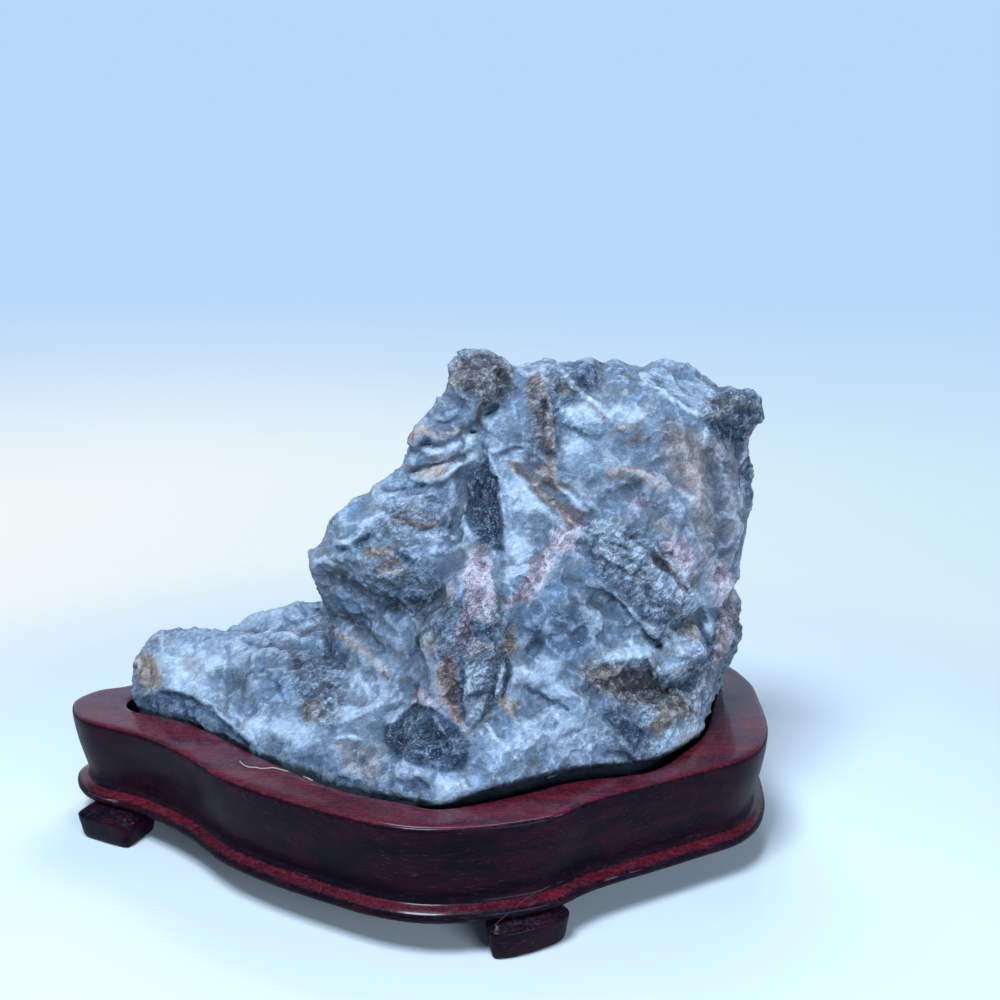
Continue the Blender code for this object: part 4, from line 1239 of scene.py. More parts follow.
def makeGrainGroup():
    # grains of a chosen size in millimetres: a soft coarse value, a fine one, and rare flecks
    group, start, end = newGroup(
        "mineralGrain", {"Size": 1.0, "Fleck share": 0.3}, ("Coarse", "Fine", "Fleck"))
    place = addNode(group, "ShaderNodeTexCoord").outputs["Object"]
    scale = mathNode(group, "DIVIDE", 1000.0, start.outputs["Size"])
    outputs = {}
    for title, factor, detail in (("Coarse", 0.35, 4.0), ("Fine", 1.0, 3.0), ("Fleck", 1.7, 1.0)):
        noise = addNode(group, "ShaderNodeTexNoise", Detail=detail, Roughness=0.6)
        join(group, place, noise.inputs["Vector"])
        join(group, mathNode(group, "MULTIPLY", scale, factor), noise.inputs["Scale"])
        outputs[title] = noise.outputs["Fac"]
    low = mathNode(group, "SUBTRACT", 0.78, start.outputs["Fleck share"])
    fleck = mathNode(group, "SUBTRACT", outputs["Fleck"], low)
    outputs["Fleck"] = mathNode(group, "MULTIPLY", fleck, 7.0, clamp=True)
    for title, value in outputs.items():
        join(group, value, end.inputs[title])


def makeFlakeGroup():
    # flat flakes tilted each its own way, lying aslant: the height of their faces
    group, start, end = newGroup("brokenFlakes", {"Size": 3.0, "Slant": 0.8}, ("Height",))
    place = addNode(group, "ShaderNodeTexCoord").outputs["Object"]
    turned = addNode(group, "ShaderNodeVectorRotate", rotation_type="Y_AXIS")
    join(group, place, turned.inputs["Vector"])
    join(group, start.outputs["Slant"], turned.inputs["Angle"])
    stretched = vectorNode(group, "MULTIPLY", turned.outputs[0], (600.0, 1000.0, 1400.0))
    ragged = addNode(group, "ShaderNodeTexNoise", Scale=900.0, Detail=2.0)
    join(group, place, ragged.inputs["Vector"])
    strayed = vectorNode(group, "ADD", stretched, ragged.outputs["Color"])
    sized = vectorNode(group, "DIVIDE", strayed, start.outputs["Size"])
    cells = addNode(group, "ShaderNodeTexVoronoi", Scale=1.0)
    join(group, sized, cells.inputs["Vector"])
    away = vectorNode(group, "SUBTRACT", sized, cells.outputs["Position"])
    tilt = vectorNode(group, "SUBTRACT", cells.outputs["Color"], (0.5, 0.5, 0.5))
    face = vectorNode(group, "DOT_PRODUCT", away, tilt)
    join(group, mathNode(group, "MULTIPLY", face, start.outputs["Size"]), end.inputs["Height"])


def makeDustGroup():
    # a film of dust that lies on upward faces and breaks up in spots
    group, start, end = newGroup("dustFilm", {"Amount": 0.3, "Size": 4.0}, ("Mask",))
    times, _, _ = sums(group)
    place = addNode(group, "ShaderNodeTexCoord").outputs["Object"]
    noise = addNode(group, "ShaderNodeTexNoise", Detail=6.0, Roughness=0.7)
    join(group, place, noise.inputs["Vector"])
    join(group, mathNode(group, "DIVIDE", 1000.0, start.outputs["Size"]), noise.inputs["Scale"])
    up = splitNode(group, addNode(group, "ShaderNodeNewGeometry").outputs["Normal"])
    lying = ramp(group, up["Z"], 0.3, 0.95)
    spots = ramp(group, noise.outputs["Fac"], 0.42, 0.66)
    join(group, times(times(lying, spots), start.outputs["Amount"]), end.inputs["Mask"])


rockFinish = {
    "slate": (0.100, 0.134, 0.186),
    "blueGrey": (0.175, 0.228, 0.308),
    "paleGrey": (0.290, 0.345, 0.425),
    # painted shade for recesses; the crest colour two lines down is painted highlight for crests
    "paintedRecessShade": (0.036, 0.048, 0.070),
    # pale bloom colour, also used as painted highlight
    "paleBloomAndHighlight": (0.430, 0.500, 0.610),
    "crest": (0.540, 0.600, 0.700),
    "umber": (0.150, 0.136, 0.132),
    "steel": (0.125, 0.215, 0.355),
    "ochre": (0.110, 0.083, 0.072),
    "ochreLight": (0.330, 0.238, 0.178),
    "rust": (0.125, 0.076, 0.072),
    "rustLight": (0.300, 0.180, 0.145),
    "pink": (0.170, 0.105, 0.130),
    "pinkLight": (0.480, 0.400, 0.445),
    # dark grain colour, used for dark mineral and as painted shade
    "shadeAndDarkGrain": (0.022, 0.040, 0.074),
    "darkFleck": (0.070, 0.112, 0.180),
    "grainDark": (0.50, 0.50, 0.52),
    "grainLight": (1.42, 1.41, 1.39),
    # painted shadow colour for the gap round the stone's foot
    "paintedShadowBlack": (0.006, 0.007, 0.011),
    "specular": 0.16,
    "bumpHeight": 0.00095,
}


def makeStoneMaterial():
    look = rockFinish
    material, tree, shader = newMaterial("weatheredStone", 0.7, specular=look["specular"])
    times, about, plus = sums(tree)
    place = addNode(tree, "ShaderNodeTexCoord").outputs["Object"]
    grain = useGroup(tree, "mineralGrain", {"Size": 0.50, "Fleck share": 0.27})
    clouds = noiseNode(tree, place, 22.0, 4.0, 0.55, 0.4)
    patches = noiseNode(tree, place, 6.0, 5.0, 0.6, 0.6)
    spots = noiseNode(tree, place, 1.8, 4.0, 0.65, 0.4)
    specks = noiseNode(tree, place, 0.85, 3.0, 0.75, 0.2)
    proud = attributeNode(tree, "proud")
    fine = attributeNode(tree, "proudFine")
    flaky = attributeNode(tree, "flaky")
    breakUp = plus(about(patches, 0.45), about(spots, 0.65), about(grain["Fine"], 0.45))

    # blue-grey ground, softly clouded and finely grained
    ground = plus(about(clouds, 1.7), about(patches, 0.9), about(spots, 0.4),
                  about(grain["Fine"], 0.3), 0.5)
    colour = mixColour(tree, ramp(tree, ground, 0.10, 0.95), look["slate"], look["blueGrey"])
    pale = times(ramp(tree, plus(grain["Fine"], about(spots, 0.8)), 0.46, 0.80), 0.30)
    colour = mixColour(tree, pale, colour, look["paleGrey"])
    dark = times(ramp(tree, plus(grain["Fine"], about(spots, 0.8)), 0.46, 0.22), 0.35)
    colour = mixColour(tree, dark, colour, look["slate"])
    hue = noiseNode(tree, place, 11.0, 5.0, 0.65, 0.8)
    colour = mixColour(tree, times(ramp(tree, hue, 0.50, 0.64), 0.62), colour, look["umber"])
    colour = mixColour(tree, times(ramp(tree, hue, 0.46, 0.34), 0.45), colour, look["steel"])

    # pale bloom lies on what stands proud, with painted highlight: the drawn ridge lines, the upward faces
    # and every proud place are made paler
    value = plus(attributeNode(tree, "paleBloomAndHighlight"), times(breakUp, 0.55), about(proud, 0.5))
    paleBloomAndHighlight = times(ramp(tree, value, 0.20, 1.05), 0.85)
    colour = mixColour(tree, paleBloomAndHighlight, colour, look["paleBloomAndHighlight"])

    def tint(colour, attribute, deep, light, low, high, most):
        value = plus(attributeNode(tree, attribute), times(breakUp, 0.60))
        mask = times(ramp(tree, value, low, high), most)
        # proud parts take a tint's light colour and hollows its deep one: partly painted shade
        shade = plus(about(grain["Fine"], 0.9), about(proud, 0.5), about(spots, 0.7), 0.5)
        return mixColour(tree, mask, colour, mixColour(tree, ramp(tree, shade, 0.2, 0.85), deep, light))

    colour = tint(colour, "ochre", look["ochre"], look["ochreLight"], 0.12, 0.80, 0.90)
    colour = tint(colour, "pink", look["pink"], look["pinkLight"], 0.15, 0.85, 0.88)
    colour = tint(colour, "rust", look["rust"], look["rustLight"], 0.12, 0.80, 0.88)
    # the dark grain tint lays dark mineral and painted shade
    colour = tint(colour, "shadeAndDarkGrain", look["shadeAndDarkGrain"], look["darkFleck"], 0.15, 0.85, 0.95)

    # painted shade darkens the recesses, painted highlight pales the crests
    hollow = times(ramp(tree, plus(proud, about(spots, 0.25)), 0.40, 0.02), 0.50)
    colour = mixColour(tree, hollow, colour, look["paintedRecessShade"])
    crest = times(ramp(tree, plus(fine, about(spots, 0.7), about(specks, 0.6)), 0.62, 1.15), 0.26)
    colour = mixColour(tree, crest, colour, look["crest"])
    colour = mixColour(tree, times(grain["Fleck"], 0.15), colour, look["paleGrey"])

    # crisp grain over every tint, with painted shade on the flakes, and painted shadow in the gap
    large = useGroup(tree, "brokenFlakes", {"Size": 3.0, "Slant": 0.8})["Height"]
    small = useGroup(tree, "brokenFlakes", {"Size": 1.4, "Slant": 0.5})["Height"]
    # each flake is paler at its high side and darker at its low side: painted shade that follows the flake
    # bump
    flakes = plus(times(large, 0.22), times(small, 0.40))
    grainAndFlakeShade = plus(times(grain["Fine"], 0.5), times(specks, 0.5), about(spots, 0.35), flakes)
    salt = mixColour(tree, ramp(tree, grainAndFlakeShade, 0.36, 0.66), look["grainDark"], look["grainLight"])
    colour = mixColour(tree, plus(times(flaky, 0.62), 0.30), colour, salt, "MULTIPLY")
    colour = mixColour(tree, times(attributeNode(tree, "gapShade"), 0.93), colour, look["paintedShadowBlack"])
    join(tree, colour, shader.inputs["Base Color"])

    join(tree, plus(times(spots, 0.25), 0.55), shader.inputs["Roughness"])
    height = plus(times(spots, 1.2), times(specks, 1.2), times(grain["Fine"], 0.8),
                  times(large, 1.5), times(small, 2.0))
    height = plus(times(height, plus(times(flaky, 0.95), 0.20)), times(patches, 0.55))
    addBump(tree, shader, height, 1.0, look["bumpHeight"])
    return material


gritLook = {
    "density": 1.1e6,
    "size": 0.34,
    "seed": 4,
    "dark": (0.035, 0.055, 0.09),
    "pale": (0.20, 0.25, 0.33),
    "warm": (0.24, 0.19, 0.18),
}


def makeGritMaterial():
    material, tree, shader = newMaterial("looseGrit", 0.6, specular=0.4)
    grain = useGroup(tree, "mineralGrain", {"Size": 0.8, "Fleck share": 0.3})
    shade = mixColour(tree, ramp(tree, grain["Fine"], 0.42, 0.66), gritLook["dark"], gritLook["pale"])
    shade = mixColour(tree, ramp(tree, grain["Coarse"], 0.56, 0.66), shade, gritLook["warm"])
    join(tree, shade, shader.inputs["Base Color"])
    addBump(tree, shader, grain["Fine"], 0.5, 0.0001)
    return material


def newTree(name, inputs):
    tree = bpy.data.node_groups.new(name, "GeometryNodeTree")
    tree.interface.new_socket(name="Geometry", in_out="INPUT", socket_type="NodeSocketGeometry")
    for title, kind in inputs.items():
        tree.interface.new_socket(name=title, in_out="INPUT", socket_type=kind)
    tree.interface.new_socket(name="Geometry", in_out="OUTPUT", socket_type="NodeSocketGeometry")
    return tree, tree.nodes.new("NodeGroupInput"), tree.nodes.new("NodeGroupOutput")


def endTree(tree, geometry, start, end):
    real = tree.nodes.new("GeometryNodeRealizeInstances")
    paint = tree.nodes.new("GeometryNodeSetMaterial")
    join(tree, geometry, real.inputs[0])
    join(tree, real.outputs[0], paint.inputs["Geometry"])
    join(tree, start.outputs["Material"], paint.inputs["Material"])
    join(tree, paint.outputs[0], end.inputs[0])


def addTree(obj, tree, values):
    modifier = obj.modifiers.new("build", "NODES")
    modifier.node_group = tree
    for item in tree.interface.items_tree:
        if item.item_type == "SOCKET" and item.in_out == "INPUT" and item.name in values:
            modifier[item.identifier] = values[item.name]


def makeGritTree():
    tree, start, end = newTree("scatteredGrit", {
        "Density": "NodeSocketFloat", "Size": "NodeSocketFloat", "Seed": "NodeSocketInt",
        "Material": "NodeSocketMaterial"})
    where = addNode(tree, "GeometryNodeInputNamedAttribute", Name="gritHere")
    density = mathNode(tree, "MULTIPLY", where.outputs["Attribute"], start.outputs["Density"])
    spread = tree.nodes.new("GeometryNodeDistributePointsOnFaces")
    join(tree, start.outputs["Geometry"], spread.inputs["Mesh"])
    join(tree, density, spread.inputs["Density"])
    join(tree, start.outputs["Seed"], spread.inputs["Seed"])
    grain = addNode(tree, "GeometryNodeMeshIcoSphere", Subdivisions=1)
    join(tree, start.outputs["Size"], grain.inputs["Radius"])
    scale = addNode(tree, "FunctionNodeRandomValue", data_type="FLOAT_VECTOR")
    scale.inputs[0].default_value = (0.5, 0.5, 0.35)
    scale.inputs[1].default_value = (1.25, 1.1, 0.8)
    join(tree, start.outputs["Seed"], scale.inputs["Seed"])
    place = tree.nodes.new("GeometryNodeInstanceOnPoints")
    join(tree, spread.outputs["Points"], place.inputs["Points"])
    join(tree, grain.outputs["Mesh"], place.inputs["Instance"])
    join(tree, spread.outputs["Rotation"], place.inputs["Rotation"])
    join(tree, scale.outputs[0], place.inputs["Scale"])
    endTree(tree, place.outputs[0], start, end)
    return tree


def makeGrit(stone, material):
    mesh = stone.data.copy()
    place = pointsOf(mesh) / mm
    dark = step(readAttribute(mesh, "shadeAndDarkGrain"), 0.5, 0.95) * 0.9
    pink = step(readAttribute(mesh, "pink"), 0.7, 0.95) * 0.5
    clumps = step(layered(place, 5.0, 77, 3), -0.25, 0.35)
    above = step(place[:, 2], 44, 50)
    setAttribute(mesh, "gritHere", (dark + pink) * clumps * above)
    obj = newObject("stoneGrit", mesh)
    addTree(obj, makeGritTree(), {
        "Density": gritLook["density"], "Size": gritLook["size"] * mm, "Seed": gritLook["seed"],
        "Material": material})
    mesh = finishedMesh(obj)
    print("grit:", len(mesh.polygons), "faces")
    return obj


# the stand and its feet

standLook = {
    "middle": (0.0, 4.0),
    "stepsRound": 420,
    "carvedWobble": 0.16,
    "wobbleSize": 17.0,
}

# rim outline from above, counter-clockwise from the left tip, in mm
rimOutline = [
    (-130.9, 19), (-121, 3), (-98, -8.5), (-78, -22.5), (-58, -41), (-30.5, -57),
    (-2, -69.2), (20, -70.7), (45, -64.8), (62, -53.5), (93, -38.2), (115, -25.5),
    (126, -6.5), (130.2, 22), (130.3, 42), (122, 61), (96, 66.8), (62, 69.5),
    (20, 71.8), (-22, 69.9), (-54, 65.2), (-84, 58), (-104, 46), (-116, 35.5), (-126.5, 30.5),
]

pocketOutline = [
    (-109.8, 20), (-105, 11), (-88, 4), (-72, -6.5), (-53, -23), (-23, -45.5),
    (2, -56.2), (14, -59.2), (34, -52.5), (54, -42.8), (80, -35.5), (94, -21),
    (104, -6), (113, 22), (119, 38), (112, 52), (86, 60), (30, 63), (-12, 62),
    (-46, 58), (-82, 48), (-102, 35),
]

# section of the stand from the middle of its underside round to the middle of the pocket:
# height, how far out, share of the pocket's line in place of the rim's, share of the way to the middle
standSection = [
    (11.8, 0, 0, 1), (11.8, 0, 0, 0.66), (11.8, 0, 0, 0.33), (11.8, -4.0, 0, 0), (11.85, -2.2, 0, 0),
    (12.1, -0.9, 0, 0), (12.6, 0.0, 0, 0), (13.3, 0.42, 0, 0), (14.1, 0.5, 0, 0), (14.8, 0.3, 0, 0),
    (15.4, -0.3, 0, 0), (15.9, -1.2, 0, 0), (16.2, -2.2, 0, 0), (16.4, -3.2, 0, 0), (16.8, -3.8, 0, 0),
    (17.8, -4.0, 0, 0), (19.5, -3.9, 0, 0), (22.0, -3.4, 0, 0), (25.0, -2.7, 0, 0), (28.0, -2.0, 0, 0),
    (31.0, -1.35, 0, 0), (34.0, -0.85, 0, 0), (37.0, -0.4, 0, 0), (40.0, -0.1, 0, 0), (42.0, 0.0, 0, 0),
    (42.8, -0.05, 0, 0), (43.25, -0.3, 0, 0), (43.55, -0.75, 0, 0), (43.68, -1.4, 0.02, 0),
    (43.7, -1.6, 0.12, 0), (43.68, -1.3, 0.25, 0), (43.65, -1.0, 0.4, 0), (43.65, -0.7, 0.55, 0),
    (43.68, -0.4, 0.7, 0), (43.7, 0.3, 0.85, 0), (43.7, 0.7, 1, 0), (43.55, 0.25, 1, 0), (43.1, 0.05, 1, 0),
    (41.0, 0, 1, 0), (37.0, 0, 1, 0), (32.0, 0, 1, 0), (27.0, 0, 1, 0), (26.0, 0, 1, 0),
    (26.0, 0, 1, 0.33), (26.0, 0, 1, 0.66), (26.0, 0, 1, 1),
]

footLook = {
    "halfLength": 12.2,
    "halfDepth": 9.0,
    "cornerPower": 6.0,
    "corners": 120,
    "stepsRound": 160,
    "carvedWobble": 0.14,
    "wobbleSize": 8.0,
    "places": {                 # middle, turn in degrees, radius it bends round
        "foot_left": (-109.8, 0.0, -24, 400.0),
        "foot_front": (38.0, -61.0, 24, 41.7),
        "foot_right": (112, 47, 118, 90.0),
        "foot_back": (-62, 55, 194, 140.0),
    },
}

footSection = [
    (0.0, 0, 0, 1), (0.0, 0, 0, 0.5), (0.0, -3.4, 0, 0), (0.0, -2.5, 0, 0), (0.2, -2.0, 0, 0),
    (0.7, -1.6, 0, 0), (1.6, -1.3, 0, 0), (3.0, -0.95, 0, 0), (5.0, -0.6, 0, 0), (7.0, -0.25, 0, 0),
    (8.6, 0.0, 0, 0), (9.2, 0.05, 0, 0), (9.6, -0.1, 0, 0), (9.9, -0.45, 0, 0), (10.15, -0.95, 0, 0),
    (10.5, -1.5, 0, 0), (10.9, -2.0, 0, 0), (11.3, -2.45, 0, 0), (11.45, -2.9, 0, 0), (11.5, -3.8, 0, 0),
    (11.5, 0, 0, 0.5), (11.5, 0, 0, 1),
]


def lineObject(name, points, closed=False):
    # a curve straight from point to point
    curve = bpy.data.curves.new(name, "CURVE")
    curve.dimensions = "3D"
    spline = curve.splines.new("POLY")
    spline.points.add(len(points) - 1)
    for point, at in zip(spline.points, points):
        point.co = (*at, 1)
    spline.use_cyclic_u = closed
    return newObject(name, curve)


def outlineObject(name, corners):
    # a closed curve through the corners; an outline of many points is smooth as it is
    steps = 1 if len(corners) > 60 else 14
    return lineObject(name, [at * mm for at in closedLine(corners, steps)], closed=True)


def sectionObject(name, rows):
    mesh = bpy.data.meshes.new(name)
    mesh.from_pydata([(out * mm, 0, z * mm) for z, out, _, _ in rows], [], [])
    setAttribute(mesh, "pocketShare", np.array([row[2] for row in rows], dtype=float))
    setAttribute(mesh, "middleShare", np.array([row[3] for row in rows], dtype=float))
    return newObject(name, mesh)


def makeTurnedTree():
    # sweeps a section round an outline, closes it at the middle and gives it a hand-carved wobble
    tree, start, end = newTree("carvedBlock", {
        "Outline": "NodeSocketObject", "Pocket": "NodeSocketObject", "Section": "NodeSocketObject",
        "Steps Round": "NodeSocketInt", "Rows": "NodeSocketInt", "Middle": "NodeSocketVector",
        "Wobble": "NodeSocketFloat", "Wobble Scale": "NodeSocketFloat", "Material": "NodeSocketMaterial"})

    def infoOf(title):
        info = tree.nodes.new("GeometryNodeObjectInfo")
        join(tree, start.outputs[title], info.inputs["Object"])
        return info.outputs["Geometry"]

    def position():
        return tree.nodes.new("GeometryNodeInputPosition").outputs[0]

    def between(share, first, second):
        node = addNode(tree, "ShaderNodeMix", data_type="VECTOR")
        join(tree, share, node.inputs[0])
        join(tree, first, node.inputs[4])
        join(tree, second, node.inputs[5])
        return node.outputs[1]

    # a flat grid, one column for each step round and one row for each row of the section
    columns = mathNode(tree, "ADD", start.outputs["Steps Round"], 1)
    grid = tree.nodes.new("GeometryNodeMeshGrid")
    join(tree, columns, grid.inputs["Vertices X"])
    join(tree, start.outputs["Rows"], grid.inputs["Vertices Y"])
    parts = splitNode(tree, position())
    around = mathNode(tree, "ADD", parts["X"], 0.5, clamp=True)
    last = mathNode(tree, "SUBTRACT", start.outputs["Rows"], 1)
    row = mathNode(tree, "MULTIPLY", mathNode(tree, "ADD", parts["Y"], 0.5), last)
    row = mathNode(tree, "ROUND", row)

    # what the section says for each row
    def sampled(kind, value):
        node = addNode(tree, "GeometryNodeSampleIndex", data_type=kind)
        join(tree, sectionShape, node.inputs["Geometry"])
        join(tree, value, node.inputs["Value"])
        join(tree, row, node.inputs["Index"])
        return node.outputs[0]

    def named(name):
        return addNode(tree, "GeometryNodeInputNamedAttribute", Name=name).outputs["Attribute"]

    sectionShape = infoOf("Section")
    offset = sampled("FLOAT_VECTOR", position())
    pocketShare = sampled("FLOAT", named("pocketShare"))
    middleShare = sampled("FLOAT", named("middleShare"))

    # each point goes to its place between the rim's line, the pocket's line and the middle
    places = []
    for title in ("Outline", "Pocket"):
        line = addNode(tree, "GeometryNodeSampleCurve", mode="FACTOR", use_all_curves=True)
        join(tree, infoOf(title), line.inputs["Curves"])
        join(tree, around, line.inputs["Factor"])
        outward = vectorNode(tree, "CROSS_PRODUCT", line.outputs["Tangent"], (0, 0, 1))
        outward = vectorNode(tree, "NORMALIZE", outward)
        moved = vectorNode(tree, "SCALE", outward, scale=splitNode(tree, offset)["X"])
        places.append(vectorNode(tree, "ADD", line.outputs["Position"], moved))
    flat = between(pocketShare, places[0], places[1])
    flat = between(middleShare, flat, start.outputs["Middle"])
    lifted = vectorNode(tree, "ADD", flat, vectorNode(tree, "MULTIPLY", offset, (0, 0, 1)))
    place = tree.nodes.new("GeometryNodeSetPosition")
    join(tree, grid.outputs["Mesh"], place.inputs["Geometry"])
    join(tree, lifted, place.inputs["Position"])
    merge = addNode(tree, "GeometryNodeMergeByDistance", Distance=0.00004)
    join(tree, place.outputs[0], merge.inputs["Geometry"])

    noise = addNode(tree, "ShaderNodeTexNoise", Detail=2.0)
    join(tree, position(), noise.inputs["Vector"])
    join(tree, start.outputs["Wobble Scale"], noise.inputs["Scale"])
    centred = mathNode(tree, "SUBTRACT", noise.outputs["Fac"], 0.5)
    amount = mathNode(tree, "MULTIPLY", centred, start.outputs["Wobble"])
    normal = tree.nodes.new("GeometryNodeInputNormal").outputs[0]
    carve = tree.nodes.new("GeometryNodeSetPosition")
    join(tree, merge.outputs[0], carve.inputs["Geometry"])
    join(tree, vectorNode(tree, "SCALE", normal, scale=amount), carve.inputs["Offset"])
    endTree(tree, carve.outputs[0], start, end)
    return tree


def carvedBlock(name, tree, outline, pocket, section, look, middle, material):
    obj = newObject(name, bpy.data.meshes.new(name))
    helpers = {
        "Outline": outlineObject(name + "Outline", outline),
        "Pocket": outlineObject(name + "Pocket", pocket),
        "Section": sectionObject(name + "Section", section),
    }
    addTree(obj, tree, {
        **helpers, "Steps Round": look["stepsRound"], "Rows": len(section),
        "Middle": (middle[0] * mm, middle[1] * mm, 0.0), "Wobble": look["carvedWobble"] * 2 * mm,
        "Wobble Scale": 1000.0 / look["wobbleSize"], "Material": material})
    mesh = finishedMesh(obj)
    for helper in helpers.values():
        bpy.data.objects.remove(helper)
    bm = bmesh.new()
    bm.from_mesh(mesh)
    bmesh.ops.remove_doubles(bm, verts=bm.verts, dist=1e-6)
    bmesh.ops.recalc_face_normals(bm, faces=bm.faces)
    loose = sum(1 for edge in bm.edges if not edge.is_manifold)
    bm.to_mesh(mesh)
    bm.free()
    smoothFaces(mesh)
    print(name + ":", len(mesh.polygons), "faces,", loose, "open edges")
    return obj


def footOutline(x, y, degrees, radius):
    # a block with rounded corners, bent to follow the stand's edge
    look = footLook
    corners = []
    turn = math.radians(degrees)
    for i in range(look["corners"]):
        angle = 2 * math.pi * i / look["corners"]
        c, s = math.cos(angle), math.sin(angle)
        along = look["halfLength"] * math.copysign(abs(c) ** (2 / look["cornerPower"]), c)
        out = look["halfDepth"] * math.copysign(abs(s) ** (2 / look["cornerPower"]), s)
        bend = along / radius
        along = math.sin(bend) * (radius - out)
        out = radius - math.cos(bend) * (radius - out)
        corners.append((x + along * math.cos(turn) - out * math.sin(turn),
                        y + along * math.sin(turn) + out * math.cos(turn)))
    return corners


woodFinish = {
    "topRed": (0.095, 0.0030, 0.010),
    "topDeep": (0.020, 0.0012, 0.006),
    "wornTop": (0.34, 0.050, 0.045),
    # side is the same wood as the top, darkened as painted shade for the walls, the bead and the feet
    "side": (0.0028, 0.0010, 0.0046),
    "sideGlow": (0.014, 0.0018, 0.0060),
    "sideStreak": (0.040, 0.016, 0.030),
    "grainDark": (0.45, 0.45, 0.48),
    "grainLight": (1.65, 1.60, 1.55),
    # pale edge colour: rubbed lacquer and a painted edge highlight
    "wornEdgeAndHighlight": (0.34, 0.20, 0.24),
    "dust": (0.36, 0.30, 0.36),
    "coat": 0.90,
    "sideCoat": 0.06,
    "coatRoughness": 0.15,
    "specular": 0.035,
    "bumpHeight": 0.00018,
    "grainStretch": (0.16, 1.0, 1.0),
    "grainTurn": (0, 9, 6),     # degrees
}


def makeWoodMaterial():
    look = woodFinish
    material, tree, shader = newMaterial(
        "lacqueredRosewood", 0.4, look["coat"], look["coatRoughness"], look["specular"])
    times, about, plus = sums(tree)
    place = addNode(tree, "ShaderNodeTexCoord").outputs["Object"]
    stretch = addNode(tree, "ShaderNodeMapping", Scale=look["grainStretch"])
    stretch.inputs["Rotation"].default_value = [math.radians(turn) for turn in look["grainTurn"]]
    join(tree, place, stretch.inputs["Vector"])
    fibre = noiseNode(tree, stretch.outputs[0], 0.8, 4.0, 0.65)
    bands = noiseNode(tree, stretch.outputs[0], 7.0, 4.0, 0.6, 0.5)
    clouds = noiseNode(tree, place, 30.0, 3.0, 0.5)
    grain = useGroup(tree, "mineralGrain", {"Size": 0.45, "Fleck share": 0.27})
    up = splitNode(tree, addNode(tree, "ShaderNodeNewGeometry").outputs["Normal"])
    facingUp = ramp(tree, up["Z"], 0.70, 0.97)
    litTop = times(facingUp, ramp(tree, splitNode(tree, place)["Z"], 0.011, 0.015))

    # dark streaky sides and a red top worn in spots; the sides, the bead's round face and all below the
    # stand's underside take the dark side colour as painted shade
    side = mixColour(tree, ramp(tree, bands, 0.40, 0.66), look["side"], look["sideGlow"])
    streak = times(ramp(tree, fibre, 0.56, 0.72), ramp(tree, clouds, 0.35, 0.62))
    side = mixColour(tree, times(streak, 0.55), side, look["sideStreak"])
    top = mixColour(tree, ramp(tree, bands, 0.30, 0.72), look["topDeep"], look["topRed"])
    top = mixColour(tree, times(ramp(tree, grain["Coarse"], 0.44, 0.62), 0.6), top, look["topRed"])
    worn = times(ramp(tree, fibre, 0.54, 0.72), ramp(tree, clouds, 0.40, 0.62))
    worn = plus(times(worn, 0.12), times(grain["Fleck"], 0.14))
    top = mixColour(tree, worn, top, look["wornTop"])
    colour = mixColour(tree, times(litTop, 0.96), side, top)

    # rubbed edges with a painted edge highlight, brushed grain and a little dust
    rubbedEdgeAndHighlight = plus(attributeNode(tree, "edge"), about(bands, 1.2))
    rubbedEdgeAndHighlight = times(ramp(tree, rubbedEdgeAndHighlight, 0.88, 1.15), 0.42)
    colour = mixColour(tree, rubbedEdgeAndHighlight, colour, look["wornEdgeAndHighlight"])
    brushed = plus(times(fibre, 0.5), times(grain["Fine"], 0.5))
    salt = mixColour(tree, ramp(tree, brushed, 0.36, 0.64), look["grainDark"], look["grainLight"])
    colour = mixColour(tree, 0.8, colour, salt, "MULTIPLY")
    dust = useGroup(tree, "dustFilm", {"Amount": 0.04, "Size": 1.2})["Mask"]
    colour = mixColour(tree, dust, colour, look["dust"])
    join(tree, colour, shader.inputs["Base Color"])

    coat = plus(times(litTop, look["coat"] - look["sideCoat"]), look["sideCoat"])
    join(tree, coat, shader.inputs["Coat Weight"])
    join(tree, plus(times(fibre, 0.30), 0.26), shader.inputs["Roughness"])
    height = plus(fibre, times(grain["Fine"], 0.8), times(bands, 1.2))
    addBump(tree, shader, height, 0.5, look["bumpHeight"])
    return material


def markEdges(mesh):
    # rounded arrises between the top and the sides, where hands rub the lacquer and where a pale edge
    # highlight is painted
    points = pointsOf(mesh)
    normals = normalsOf(mesh)
    upward = normals[:, 2]
    arris = step(upward, 0.2, 0.45) * (1 - step(upward, 0.75, 0.97))
    wear = step(layered(points / mm, 22.0, 401, 3), -0.15, 0.35)
    setAttribute(mesh, "edge", arris * wear)


def makeStand(material):
    tree = makeTurnedTree()
    stand = carvedBlock("carvedStand", tree, rimOutline, pocketOutline, standSection, standLook,
                        standLook["middle"], material)
    feet = []
    for name, (x, y, degrees, radius) in footLook["places"].items():
        outline = footOutline(x, y, degrees, radius)
        title = "carvedFoot" + name.split("_")[1].capitalize()
        feet.append(carvedBlock(title, tree, outline, outline, footSection, footLook, (x, y), material))
    for obj in [stand] + feet:
        markEdges(obj.data)
    return stand, feet


# dirt left on the rim: a dried thread and a hair

threadLook = {"radius": 0.24, "wander": 0.3, "colour": (0.40, 0.32, 0.27)}
hairLook = {"radius": 0.09, "wander": 0.0, "colour": (0.05, 0.035, 0.04)}
threadLine = [
    (240, 762), (243, 766), (249, 768), (257, 768), (263, 770), (271, 768), (280, 770), (288, 772),
    (297, 774), (305, 778), (312, 781), (317, 782), (318, 779),
]
hairLine = [(495, 925), (506, 915), (518, 905), (530, 896), (545, 888), (563, 881)]


def onWood(tree, pixel, radius):
    # the point where the camera sees the wood at a pixel, raised by the strand's radius
    eye = Vector(cameraLook["at"])
    place, normal, _, _ = tree.ray_cast(eye, rayThrough(pixel).normalized())
    return place + normal * radius


